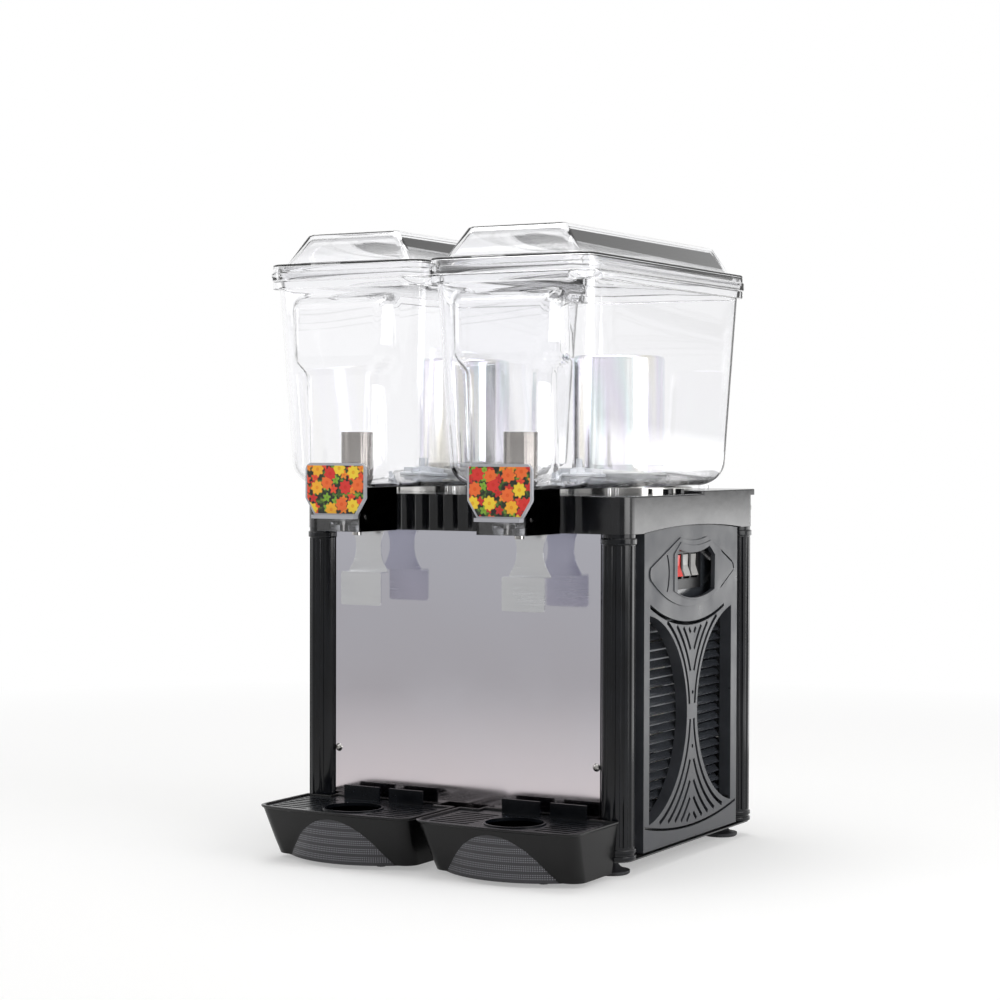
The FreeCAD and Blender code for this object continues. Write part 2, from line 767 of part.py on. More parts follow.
# Cooler bases, evaporators and their seals
seal_z = bowl_floor + 10
dish = new_body("cooler_base_left", -bowl_x, evaporator_y)
revolve(dish, outline(
    (evaporator_radius - 4, deck_top),
    (dish_radius, deck_top),
    (dish_radius, deck_top + 7),
    (dish_radius - dish_steel, deck_top + 7),
    (dish_radius - dish_steel, deck_top + dish_steel),
    (evaporator_radius - 4, deck_top + dish_steel),
))
twin("cooler_base_right", dish, bowl_x * 2)

flange_z = deck_top + dish_steel
evaporator = new_body("evaporator_left", -bowl_x, evaporator_y)
revolve(evaporator, outline(
    (0, evaporator_top - 12),
    (core_bore, evaporator_top - 12),
    (core_bore, flange_z),
    (flange_radius, flange_z),
    (flange_radius, flange_z + shell),
    (evaporator_radius, flange_z + shell),
    (evaporator_radius, evaporator_top - shoulder, shoulder),
    (evaporator_radius - shoulder, evaporator_top),
    (0, evaporator_top),
))
twin("evaporator_right", evaporator, bowl_x * 2)

seal = new_body("evaporator_seal_left", -bowl_x, evaporator_y)
revolve(seal, outline(
    (evaporator_radius, bowl_floor + 2),
    (seal_radius, bowl_floor + 2),
    (seal_radius, seal_z + 1),
    (seal_radius - 1, seal_z + 2.4),
    (evaporator_radius, seal_z + 2.4),
))
twin("evaporator_seal_right", seal, bowl_x * 2)



# Bowl: tapered tank with a front bay, and under it the tap barrel inside an open channel.
floor_top = bowl_floor + 3.5
tank_half = bowl_half - bowl_draft
tank_front = bowl_front - bowl_draft
tank_rear = bowl_rear - bowl_draft
bay_upper_front = bay_front + 4
flange_half = bowl_half + 3.4
flange_front = bowl_front + 5
flange_rear = bowl_rear + 5
flange_top_z = bowl_rim + 8
wall_top_z = lid_z + 15.5
rim_corner = Size.of(16)


def loft(body, sections, cut=False):
    """Joins outlines at different heights; a section is (height, draw)."""
    drawings = []
    for level, draw in sections:
        drawing = new_sketch(body, "XY", level)
        draw(drawing)
        drawings.append(drawing)
    doc.recompute()
    kind = "PartDesign::SubtractiveLoft" if cut else "PartDesign::AdditiveLoft"
    feature = body.newObject(kind, body.Name + "_loft")
    feature.Profile = (drawings[0], [""])
    feature.Sections = [(drawing, [""]) for drawing in drawings[1:]]
    feature.Ruled = True
    body.Tip = feature
    doc.recompute()
    return feature


def tank(inset, low, edge):
    """Sections of the tank from its rounded foot up to the rim."""
    sections = []
    for step in range(5):
        angle = math.radians(22.5 * step)
        tuck = inset + edge * (1 - math.sin(angle))
        drift = edge * (1 - math.cos(angle))
        lean = bowl_draft * drift / (bowl_rim - low)
        sections.append((low + drift, rounded(
            tuck - tank_half - lean, tank_half - tuck + lean,
            tuck - tank_front - lean, tank_rear - tuck + lean, 24 - tuck * 0.4)))
    sections.append((bowl_rim, rounded(
        inset - bowl_half, bowl_half - inset, inset - bowl_front, bowl_rear - inset, rim_corner - inset)))
    return sections


bowl = new_body("bowl_left", -bowl_x, 0)
loft(bowl, tank(Size.of(0), bowl_floor, 16))
bay_low = outline(
    (-bay_half, bowl_floor),
    (bay_half, bowl_floor),
    (bay_half, bay_shoulder + 8),
    (-bay_half, bay_shoulder + 8),
)
bay_high = outline(
    (-bay_half, bay_shoulder),
    (bay_half, bay_shoulder),
    (bay_wide, bay_shoulder + 18),
    (bay_wide, bay_top),
    (-bay_wide, bay_top),
    (-bay_wide, bay_shoulder + 18),
)
extrude(bowl, "y", -bay_front, tap_y + 6, bay_low)
extrude(bowl, "y", -bay_upper_front, tap_y + 6, bay_high)
loft(bowl, tank(bowl_wall, floor_top, 13), cut=True)
extrude(bowl, "y", bowl_wall - bay_front, tap_y + 30, outline(
    (bowl_wall - bay_half, floor_top),
    (bay_half - bowl_wall, floor_top),
    (bay_half - bowl_wall, bay_shoulder + 8),
    (bowl_wall - bay_half, bay_shoulder + 8),
), cut=True)
extrude(bowl, "y", bowl_wall - bay_upper_front, tap_y + 30, outline(
    (bowl_wall - bay_half, bay_shoulder + 1.5),
    (bay_half - bowl_wall, bay_shoulder + 1.5),
    (bay_wide - bowl_wall, bay_shoulder + 19),
    (bay_wide - bowl_wall, bay_top - bowl_wall),
    (bowl_wall - bay_wide, bay_top - bowl_wall),
    (bowl_wall - bay_wide, bay_shoulder + 19),
), cut=True)
extrude(bowl, "z", bowl_rim, flange_top_z, rounded(
    -flange_half, flange_half, -flange_front, flange_rear, rim_corner + 3.5))
extrude(bowl, "z", flange_top_z, wall_top_z, rounded(
    -bowl_half, bowl_half, -bowl_front, bowl_rear, rim_corner))
extrude(bowl, "z", bowl_rim, wall_top_z, rounded(
    bowl_wall - bowl_half, bowl_half - bowl_wall,
    bowl_wall - bowl_front, bowl_rear - bowl_wall, rim_corner - bowl_wall), cut=True)
extrude(bowl, "z", bowl_floor, seal_z, disc(0, evaporator_y, seal_radius + 4))
extrude(bowl, "z", bowl_floor, seal_z, disc(0, evaporator_y, seal_radius + seal_play), cut=True)
barrel_wall = barrel_bore + 2.5
extrude(bowl, "z", barrel_z, bowl_floor, disc(0, tap_y, barrel_wall))
extrude(bowl, "z", deck_z, bowl_floor, several(
    rectangle(-channel_half, channel_half, -bay_front, bowl_wall - bay_front),
    rectangle(-channel_half, bowl_wall - channel_half, bowl_wall - bay_front, channel_rear),
    rectangle(channel_half - bowl_wall, channel_half, bowl_wall - bay_front, channel_rear),
))
extrude(bowl, "z", barrel_z + 4, floor_top, disc(0, tap_y, barrel_bore), cut=True)
extrude(bowl, "z", barrel_z, barrel_z + 4, disc(0, tap_y, spout_radius), cut=True)
extrude(bowl, "x", -bay_half, bay_half,
        rectangle(tap_y - 3.2, tap_y + 3.2, pivot_z - 2.6, pivot_z + 9), cut=True)
extrude(bowl, "x", -bay_half, bay_half, disc(pivot_y, pivot_z, pin_radius + pin_play), cut=True)
extrude(bowl, "z", floor_top, floor_top + 6, disc(0, impeller_y, spindle))
extrude(bowl, "z", deck_top, bowl_floor + 1, several(disc(-62, -120, 6), disc(62, -120, 6)))
extrude(bowl, "z", deck_top + deck_step, bowl_floor + 1, several(disc(-62, 112, 6), disc(62, 112, 6)))
twin("bowl_right", bowl, bowl_x * 2)

# Lid: skirt over the bowl's upper wall, flat shoulder and a tapered dome.
lid_top = lid_z + lid_high
plate_z = lid_z + 18
lid = new_body("lid_left", -bowl_x, 0)
extrude(lid, "z", lid_z, lid_z + 9, rounded(
    -flange_half - 0.7, flange_half + 0.7, -flange_front - 0.7, flange_rear + 0.7, rim_corner + 4.2))
extrude(lid, "z", lid_z + 9, plate_z, rounded(
    -flange_half + 0.9, flange_half - 0.9, -flange_front + 0.9, flange_rear - 0.9, rim_corner + 2.6))
extrude(lid, "z", lid_z, wall_top_z, rounded(
    -bowl_half - 1.2, bowl_half + 1.2, -bowl_front - 1.2, bowl_rear + 1.2, rim_corner + 1.2), cut=True)


def dome(inset, low, high):
    return (
        (low, rounded(-79.5 + inset, 79.5 - inset, -238 + inset, 149.5 - inset, 9)),
        (high, rounded(-58 + inset, 58 - inset, -225 + inset, 143 - inset, 4)),
    )


loft(lid, dome(0, plate_z, lid_top))
loft(lid, dome(bowl_wall, wall_top_z, lid_top - bowl_wall), cut=True)
twin("lid_right", lid, bowl_x * 2)

# Impeller on its spindle, with the drive magnet and motor under the deck.
spindle_top = floor_top + 6
impeller = new_body("impeller_left", -bowl_x, impeller_y)
revolve(impeller, outline(
    (spindle + pin_play, floor_top + 0.5),
    (26, floor_top + 0.5),
    (26, floor_top + 4),
    (9, floor_top + 5.5),
    (7, floor_top + 13),
    (3.5, floor_top + 13.5),
    (3.5, floor_top + 27.5),
    (0, floor_top + 27.5),
    (0, spindle_top),
    (spindle + pin_play, spindle_top),
))
vane = extrude(impeller, "z", floor_top + 3, floor_top + 11, rectangle(6, 24, -1.2, 1.2))
around(impeller, vane, 4)
twin("impeller_right", impeller, bowl_x * 2)

motor_face = skin_z - 12
motor = new_body("stirrer_motor_left", -bowl_x, impeller_y)
revolve(motor, outline(
    (0, motor_face - 48),
    (27, motor_face - 48),
    (27, motor_face - 4),
    (32, motor_face - 4),
    (32, skin_z),
    (28, skin_z),
    (28, motor_face),
    (motor_shaft + pin_play, motor_face),
    (motor_shaft + pin_play, motor_face - 10),
    (0, motor_face - 10),
))
twin("stirrer_motor_right", motor, bowl_x * 2)
magnet = new_body("drive_magnet_left", -bowl_x, impeller_y)
revolve(magnet, outline(
    (0, motor_face - 10),
    (motor_shaft, motor_face - 10),
    (motor_shaft, motor_face + 2),
    (24, motor_face + 2),
    (24, skin_z - 2),
    (0, skin_z - 2),
))
twin("drive_magnet_right", magnet, bowl_x * 2)

# Tap: steel piston with its seal, lever yoke, push paddle, spout, pivot pin and cover.
piston = new_body("tap_piston_left", -bowl_x, tap_y)
revolve(piston, outline(
    (0, stem_z),
    (stem_radius, stem_z),
    (stem_radius, floor_top + 3.5),
    (piston_radius, floor_top + 3.5),
    (piston_radius, 469.5),
    (piston_radius - 1.5, 469.5),
    (piston_radius - 1.5, floor_top + 6.5),
    (0, floor_top + 6.5),
))
extrude(piston, "x", -stem_radius - 1, stem_radius + 1, rectangle(
    -pin_radius - 0.8, pin_radius + 0.8,
    pivot_z - pin_radius - pin_play, pivot_z + pin_radius + pin_play), cut=True)
twin("tap_piston_right", piston, bowl_x * 2)
tap_seal = new_body("tap_seal_left", -bowl_x, tap_y)
revolve(tap_seal, outline(
    (stem_radius, floor_top),
    (piston_radius - 0.5, floor_top),
    (piston_radius - 0.5, floor_top + 3.5),
    (stem_radius, floor_top + 3.5),
))
twin("tap_seal_right", tap_seal, bowl_x * 2)

spout = new_body("spout_left", -bowl_x, tap_y)
revolve(spout, outline(
    (spout_radius - 1.2, barrel_z - 12),
    (spout_radius, barrel_z - 12),
    (spout_radius, barrel_z + 4),
    (spout_radius - 1.2, barrel_z + 4),
))
twin("spout_right", spout, bowl_x * 2)

lever = new_body("tap_lever_left", -bowl_x, 0)
arm_out = channel_half - bowl_wall - 1.5
arm_in = arm_out - 4.5
arm = outline((pivot_y - 4, 374), (-188, 374), (-188, 385), (pivot_y - 4, 382))
extrude(lever, "x", arm_in, arm_out, arm)
extrude(lever, "x", -arm_out, -arm_in, arm)
extrude(lever, "x", -arm_out, arm_out, rectangle(-194.2, -192, 371, 384))
extrude(lever, "x", -arm_out, arm_out, disc(tap_y, pivot_z, pin_radius))
extrude(lever, "x", -arm_out, arm_out, disc(pivot_y, pivot_z, pin_radius + pin_play), cut=True)
twin("tap_lever_right", lever, bowl_x * 2)

pin = new_body("pivot_pin_left", -bowl_x, 0)
extrude(pin, "x", -channel_half - 2, channel_half + 2, disc(pivot_y, pivot_z, pin_radius))
twin("pivot_pin_right", pin, bowl_x * 2)

paddle = new_body("paddle_left", -bowl_x, 0)
extrude(paddle, "y", -192, -190.5, outline(
    (-25, 315),
    (25, 315),
    (25, 318.1, -39),
    (25, 367.9),
    (20.4, 372),
    (20.4, 384),
    (-20.4, 384),
    (-20.4, 372),
    (-25, 367.9, -39),
    (-25, 318.1),
))
extrude(paddle, "z", 315, 316.5, rectangle(-25, 25, -207, -190.5))
extrude(paddle, "y", -207, -205.5, rounded(-25.8, 25.8, 280, 316.5, 3))
twin("paddle_right", paddle, bowl_x * 2)

cover_plate = new_body("tap_cover_left", -bowl_x, 0)
extrude(cover_plate, "y", -bay_front - 4, -bay_front, outline(
    (-27, 380),
    (27, 380),
    (38.4, 398),
    (38.4, 428, 8),
    (30.4, 436),
    (-30.4, 436, 8),
    (-38.4, 428),
    (-38.4, 398),
))
extrude(cover_plate, "y", -bay_front - 10, -bay_front, rectangle(-27, 27, 376, 380))
twin("tap_cover_right", cover_plate, bowl_x * 2)


# Drip trays: sloped pans with a round bulge low on the front, standing on small pads.
tray_corner = tray_reach - 7
tray_rear = panel_y + 0.8
tray_step = half_y + ring_radius + 0.9
grid_z = tray_rim - 4.4


def tray_outline(side, inset, lean):
    """The tray's plan; lean draws the front and sides in towards the foot."""
    inner = tray_gap + inset + lean * 0.35
    outer = tray_outer - inset - lean * 0.25
    nose = tray_corner - inset - lean
    run = outer - inner - 20
    bow = (run * run / 4 + 49) / 14
    return sided(side, [
        (166 - inset, -tray_rear - inset),
        (27 + inset, -tray_rear - inset),
        (27 + inset, -tray_step - inset),
        (inner, -tray_step - inset),
        (inner, -nose + 9, 10),
        (inner + 10, -nose, bow),
        (outer - 10, -nose, 10),
        (outer, -nose + 9),
        (outer, -tray_step - inset),
        (166 - inset, -tray_step - inset),
    ])


slant = Size.of(0.2)
for name, side in SIDES:
    tray = new_body("drip_tray_" + name)
    loft(tray, ((tray_floor, tray_outline(side, 0, 26)), (tray_rim, tray_outline(side, 0, 0))))
    bulge_x = side * (tray_gap + tray_outer) / 2
    chord = root(bulge_radius * bulge_radius - (bulge_radius - 22) * (bulge_radius - 22))
    segment = outline(
        (bulge_x - chord, 22 - bulge_reach, bulge_radius),
        (bulge_x + chord, 22 - bulge_reach),
        (bulge_x + chord, 32 - bulge_reach),
        (bulge_x - chord, 32 - bulge_reach),
    )
    bulge = extrude(tray, "z", tray_floor, 45, segment)
    bulge.UseCustomVector = True
    bulge.Direction = FreeCAD.Vector(0, 0.183, 1)
    doc.recompute()
    loft(tray, ((tray_floor + tray_wall, tray_outline(side, 5, 24)), (grid_z, tray_outline(side, 5, 2))), cut=True)
    extrude(tray, "z", grid_z, tray_rim, tray_outline(side, tray_wall, 0), cut=True)
    extrude(tray, "z", 0, tray_floor, several(
        disc(side * 60, -230, 6),
        disc(side * 140, -230, 6),
        disc(side * 60, -180, 6),
        disc(side * 140, -180, 6),
    ))
    grid = new_body("drip_grid_" + name)
    extrude(grid, "z", grid_z, grid_z + 2.2, tray_outline(side, tray_wall + 0.3, 0))
    tab = 58 if side > 0 else -145
    grid_step = tray_step + tray_wall + 0.3
    extrude(grid, "z", grid_z + 2.2, tray_rim + 13.6, several(
        rectangle(tab, tab + 46, -grid_step, -grid_step + 3),
        rectangle(tab + 59, tab + 102, -grid_step, -grid_step + 3),
    ))
    drain_x = 103 if side > 0 else -98.5
    extrude(grid, "z", grid_z + 2.2, grid_z + 3.6, disc(drain_x, -226, 33.4))
    extrude(grid, "z", grid_z, grid_z + 3.6, disc(drain_x, -226, 31), cut=True)
    for start, stop, count in ((16, 64, 7), (142, 186, 7)):
        slit = extrude(grid, "z", grid_z, grid_z + 2.2, rounded(
            *[Size.of(end) for end in sorted((side * start, side * stop))], -256, -251, 2.4), cut=True)
        row(grid, slit, "Y", count, 10.5)

# Refrigeration set on the base pan
compressor = new_body("compressor", compressor_x, pack_y)
revolve(compressor, outline(
    (0, pan_top + 12),
    (40, pan_top + 12, 26),
    (62, pan_top + 36),
    (62, pan_top + 92),
    (63.5, pan_top + 92),
    (63.5, pan_top + 98),
    (62, pan_top + 98),
    (62, pan_top + 128, 34),
    (34, pan_top + 158),
    (0, pan_top + 163),
))
extrude(compressor, "z", pan_top + 150, pan_top + 164, disc(30, -8, 6))
extrude(compressor, "z", pan_top + 9, pan_top + 12.5, rounded(-60, 60, -60, 60, 12))
extrude(compressor, "z", pan_top, pan_top + 9, several(
    disc(-50, -50, 8), disc(50, -50, 8), disc(-50, 50, 8), disc(50, 50, 8)))

condenser = new_body("condenser", core_x1 + 1.5, pack_y - 45.5)
inner_face = core_x0 - core_x1 - 1.5
extrude(condenser, "z", pan_top + 22, 284, rectangle(inner_face, -1.5, 45.5 - core_half, 45.5 + core_half))
extrude(condenser, "x", -1.5, 0, rectangle(45.5 - core_half - 4, 45.5 + core_half + 4, pan_top, 288))
extrude(condenser, "x", inner_face - 1.5, inner_face,
        rectangle(45.5 - core_half - 4, 45.5 + core_half + 4, pan_top, 288))
hairpin = new_sketch(condenser, "XZ")
disc(13, pan_top + 40, tube_radius)(hairpin)
bend = condenser.newObject("PartDesign::Revolution", "condenser_bend")
bend.Profile = (hairpin, [""])
bend.ReferenceAxis = (hairpin, ["V_Axis"])
bend.Angle = 180
bend.Midplane = True
condenser.Tip = bend
doc.recompute()
bends = condenser.newObject("PartDesign::LinearPattern", "condenser_bends")
bends.Originals = [bend]
for number, role in (("", "Z"), ("2", "Y")):
    line = [part for part in condenser.Origin.OriginFeatures if part.Role == role + "_Axis"][0]
    setattr(bends, "Direction" + number, (line, [""]))
bends.Length = 204
bends.Occurrences = 9
bends.Length2 = 91
bends.Occurrences2 = 2
condenser.Tip = bends
doc.recompute()

fan_motor = new_body("fan_motor", fan_x - 52, pack_y, fan_z, axis=(0, 1, 0), angle=90)
revolve(fan_motor, outline(
    (0, 8),
    (24, 8),
    (26, 10),
    (26, 38),
    (12, 42),
    (fan_shaft, 42),
    (fan_shaft, 60),
    (0, 60),
))
extrude(fan_motor, "x", 0, fan_z - pan_top, rectangle(-12, 12, 14, 17))
extrude(fan_motor, "x", fan_z - pan_top - 3, fan_z - pan_top, rectangle(-20, 20, 5, 30))
blades = new_body("fan_blades", fan_x - 52, pack_y, fan_z, axis=(0, 1, 0), angle=90)
revolve(blades, outline(
    (fan_shaft, 46),
    (16, 46),
    (16, 58),
    (fan_shaft, 58),
))
blade = extrude(blades, "x", 15, 68, outline((-17, 45.5), (-16.5, 44), (17, 58.5), (16.5, 60)))
around(blades, blade, 5)



def pipe(name, x, bottom, middle, top, run):
    """A pipe up from a height, along the body's X and up again, bent with even radii."""
    tube = new_body(name, x, pack_y - 8, node=False)
    spine = new_sketch(tube, "XZ")
    way = 1 if run.number > 0 else -1
    reach = run
    radius = 12
    points = [
        vector(0, bottom, 0), vector(0, middle - radius, 0), vector(way * radius, middle, 0),
        vector(reach - way * radius, middle, 0), vector(reach, middle + radius, 0), vector(reach, top, 0),
    ]
    sizes = (
        (Size.of(0), Size.of(bottom)), (Size.of(0), middle - radius), (Size.of(way * radius), middle),
        (reach - way * radius, middle), (reach, middle + radius), (reach, Size.of(top)),
    )
    rules = []
    items = [
        spine.addGeometry(Part.LineSegment(points[0], points[1])),
        spine.addGeometry(Part.LineSegment(points[2], points[3])),
        spine.addGeometry(Part.LineSegment(points[4], points[5])),
    ]
    for index, item in enumerate(items):
        for end in (0, 1):
            across, along = sizes[2 * index + end]
            rules.append(("DistanceX", item, end + 1, across))
            rules.append(("DistanceY", item, end + 1, along))
    for first, last, start, stop in ((points[1], points[2], 0, 1), (points[3], points[4], 1, 2)):
        up_turn = (start == 0) == (way < 0)
        ends = (first, last) if up_turn else (last, first)
        arc = spine.addGeometry(arc_between(ends[0], ends[1], radius))
        rules.append(("Radius", arc, Size.of(radius)))
        rules.append(("Coincident", arc, 1 if up_turn else 2, items[start], 2))
        rules.append(("Coincident", arc, 2 if up_turn else 1, items[stop], 1))
    apply(spine, rules)
    section = new_sketch(tube, "XY", bottom)
    disc(0, 0, pipe_radius)(section)
    doc.recompute()
    sweep = tube.newObject("PartDesign::AdditivePipe", name + "_sweep")
    sweep.Profile = (section, [""])
    sweep.Spine = (spine, [])
    tube.Tip = sweep
    doc.recompute()
    return tube


pipe_top = evaporator_top - 20
suction_x = compressor_x + 30
feed_x = core_x0 + 70
pipes = [
    pipe("suction_pipe", suction_x, pan_top + 164, pipe_bend_z, pipe_top, -bowl_x - 10 - suction_x),
    pipe("feed_pipe", feed_x, Size.of(284), pipe_bend_z, pipe_top, bowl_x - 10 - feed_x),
]
group("refrigerant_pipes", pipes)

# Switches: housing behind the window of the right side panel, three rockers on pins.
rocker_y = (switch_y0 + switch_y1) / 2
housing = new_body("switch_housing")
extrude(housing, "x", 158, side_panel_x, rectangle(
    switch_y0 + 0.2, switch_y1 - 0.2, switch_z0 + 0.2, switch_z1 - 0.2))
extrude(housing, "x", side_panel_x, side_panel_x + 1, rectangle(
    switch_y0 - 2, switch_y1 + 2, switch_z0 - 2, switch_z1 + 2))
wells = []
for number in (-1, 0, 1):
    middle = rocker_y + rocker_pitch * number
    wells.append(rectangle(middle - rocker_half - 0.3, middle + rocker_half + 0.3, rocker_z - 14, rocker_z + 14))
extrude(housing, "x", 166, side_panel_x + 1, several(*wells), cut=True)
extrude(housing, "y", rocker_y - rocker_pitch - 10.5, rocker_y + rocker_pitch + 10.5,
        disc(rocker_x, rocker_z, trunnion + pin_play), cut=True)
for number, name in ((-1, "rocker_cooling"), (0, "rocker_mixer_left"), (1, "rocker_mixer_right")):
    middle = rocker_y + rocker_pitch * number
    rocker = new_body(name, rocker_x, middle, rocker_z, axis=(0, 1, 0), angle=-8)
    extrude(rocker, "y", -rocker_half, rocker_half, outline(
        (0, -12.4),
        (6.5, -12),
        (4.2, 0),
        (6.5, 12),
        (0, 12.4, 12.8),
    ))
    extrude(rocker, "y", -rocker_half - 1.3, rocker_half + 1.3, disc(0, 0, trunnion))

# Thermostat in the deck's rear wall with its knob
thermostat = new_body("thermostat", knob_x, deck_half_y, knob_z, axis=(1, 0, 0), angle=-90)
revolve(thermostat, outline(
    (0, -deck_wall - 24),
    (10, -deck_wall - 24),
    (10, -deck_wall - 3),
    (6, -deck_wall - 3),
    (6, -deck_wall),
    (5, -deck_wall),
    (5, 1),
    (shaft_radius, 1),
    (shaft_radius, 16),
    (0, 16),
))
knob = new_body("thermostat_knob", knob_x, deck_half_y, knob_z, axis=(1, 0, 0), angle=-90)
knob_length = knob_reach - deck_half_y
revolve(knob, outline(
    (shaft_radius + pin_play, 1.5),
    (10.4, 1.5),
    (10.4, 7),
    (8.2, 9),
    (9.8, 12),
    (9.4, knob_length - 2.5, 4),
    (5, knob_length),
    (0, knob_length),
    (0, 16.1),
    (shaft_radius + pin_play, 16.1),
))
extrude(knob, "x", -9, -7.4, rectangle(-1, 1, 2, 7))

# Power inlet in the rear panel
inlet = new_body("power_inlet")
extrude(inlet, "y", 132, panel_y, rectangle(inlet_x - 13.8, inlet_x + 13.8, inlet_z - 9.8, inlet_z + 9.8))
extrude(inlet, "y", panel_y, panel_y + 3, rounded(inlet_x - 24, inlet_x + 24, inlet_z - 14, inlet_z + 14, 4))
extrude(inlet, "y", 138, panel_y + 3, rectangle(inlet_x - 12, inlet_x + 12, inlet_z - 8, inlet_z + 8), cut=True)
extrude(inlet, "y", 137, 153, several(
    rectangle(inlet_x - 8, inlet_x - 6, inlet_z - 3, inlet_z + 1),
    rectangle(inlet_x + 6, inlet_x + 8, inlet_z - 3, inlet_z + 1),
    rectangle(inlet_x - 1, inlet_x + 1, inlet_z + 1, inlet_z + 5),
))

# Screws: the same button-head screw everywhere, turned to face out of its panel.


def screw(x, y, z, axis, angle):
    fastener = new_body("screw", x, y, z, axis=axis, angle=angle, node=False)
    revolve(fastener, outline(
        (0, -9),
        (screw_radius, -9),
        (screw_radius, 0),
        (head_radius, 0, 5),
        (1.6, 2.4),
        (1.6, 1),
        (0, 1),
    ))
    return fastener


fasteners = []
for across in (-1, 1):
    fasteners.append(screw(across * screw_x, -panel_y, front_screw_z, (1, 0, 0), 90))
    for height in (front_screw_z, deck_z - 50):
        fasteners.append(screw(across * screw_x, panel_y, height, (1, 0, 0), -90))
    for along in (-1, 1):
        for height in (side_screw_low, side_screw_high):
            fasteners.append(screw(
                across * side_panel_x, along * side_screw_y, height, (0, 1, 0), across * 90))
group("screws", fasteners)


# Export
doc.recompute()
os.makedirs("parts", exist_ok=True)
for thing in doc.Objects:
    if "Invalid" in thing.State or "Error" in thing.State:
        raise RuntimeError("%s (%s) is %s" % (thing.Name, thing.Label, thing.State))
for node in NODES:
    if node.Shape.isNull() or not node.Shape.isValid() or not node.Shape.Solids:
        raise RuntimeError(node.Label + " has no valid solid")
for node in NODES:
    node.Shape.exportStep("parts/%s.step" % node.Label)
print(len(NODES), "nodes")
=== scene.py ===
import math

import bmesh
import bpy
from mathutils import Matrix, Vector


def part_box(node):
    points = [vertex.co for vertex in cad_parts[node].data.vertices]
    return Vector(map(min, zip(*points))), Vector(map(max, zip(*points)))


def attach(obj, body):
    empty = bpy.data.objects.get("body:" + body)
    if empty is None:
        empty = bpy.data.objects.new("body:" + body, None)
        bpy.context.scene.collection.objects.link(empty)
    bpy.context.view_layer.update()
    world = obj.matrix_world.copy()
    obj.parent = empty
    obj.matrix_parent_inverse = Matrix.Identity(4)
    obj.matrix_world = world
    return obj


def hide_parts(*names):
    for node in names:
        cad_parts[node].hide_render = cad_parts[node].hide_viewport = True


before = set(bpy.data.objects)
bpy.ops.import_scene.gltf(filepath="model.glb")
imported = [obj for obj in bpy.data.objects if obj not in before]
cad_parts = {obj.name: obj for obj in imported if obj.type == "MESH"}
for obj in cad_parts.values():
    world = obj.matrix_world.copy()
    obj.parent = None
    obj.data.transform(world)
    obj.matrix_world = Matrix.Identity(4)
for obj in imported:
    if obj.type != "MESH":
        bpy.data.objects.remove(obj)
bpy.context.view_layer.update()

bl_info = {
    "name": "Twin Bowl Juice Dispenser",
    "version": (1, 0, 0),
    "blender": (4, 5, 0),
    "location": "View3D > Sidebar > Dispenser",
    "description": "Finishes, printed tap covers and studio for a twin bowl cold drink dispenser",
    "category": "Object",
}

SIDES = ("left", "right")

# Places of the solids in the frame, in metres.
CONDENSER_END = 0.1596  # the condenser's right end plate; the tube bends stand outside it
COVER_LEVEL = 0.408  # middle height of the tap covers
COVER_FACE = -0.2148  # just behind their printed face
TRAY_FRONT = -0.19  # what lies ahead of this is the trays' front

# What follows is measured from the drawing's middle, which stands this far behind the frame's.
FRAME_SHIFT = 0.043

# A plan is its height, half width, front reach, rear reach and corner radius.
TANK_LOW = (0.410, 0.0838, 0.2296, 0.1351, 0.022)
TANK_RIM = (0.626, 0.0962, 0.242, 0.1475, 0.026)
FLOOR_UNDER, FLOOR_TOP, TANK_TOP = 0.410, 0.4135, 0.6504
WALL = 0.0025
FOOT = 0.026  # radius of the tank's rounded foot
EVAPORATOR_Y, TAP_Y, SPINDLE_Y = 0.017, -0.215, -0.075  # their places along the bowl

# The tap bay: its half width and reach below its step, what the step adds to them, and the heights
# that the step and the bay's top each run between.
BAY_HALF, BAY_REACH = 0.045, 0.254
BAY_WIDER, BAY_FURTHER = 0.015, 0.004
BAY_STEP, BAY_END = (0.530, 0.552), (0.602, 0.620)

# The right tray: how far across its rim starts, ends and has its middle, how far ahead its nose, its
# back and the back of the tongue between the posts lie, and where that tongue starts and ends.
TRAY_INNER, TRAY_OUTER, TRAY_MIDDLE = 0.0036, 0.196, 0.0998
TRAY_NOSE, TRAY_BACK, TONGUE_BACK, TONGUE = 0.2688, 0.171, 0.1573, (0.027, 0.166)
TRAY_FLOOR, GRID_UNDER, TRAY_TOP = 0.005, 0.057, 0.0614
TRAY_CORNER = 0.014
# The bulge is a round column, leaning out as it rises by this share of its height.
BULGE_RADIUS, BULGE_REACH, BULGE_LEAN = 0.108, 0.268, 0.07

# How many spans the clear walls' fronts and corners, and the trays', are cut into.
FRONT_CUTS, CORNER_CUTS, NOSE_CUTS, TRAY_CORNER_CUTS = 45, 10, 60, 8
# Edges that turn by less than this are shaded smooth.
SMOOTH_TURN = math.radians(40)

# How far apart a wave texture's bands are at a scale of one.
WAVE_STEP = math.tau / 20


def linear(code):
    """The linear colour of an sRGB hex code."""
    parts = [int(code[at : at + 2], 16) / 255 for at in (1, 3, 5)]
    return [p / 12.92 if p <= 0.04045 else ((p + 0.055) / 1.055) ** 2.4 for p in parts] + [1.0]


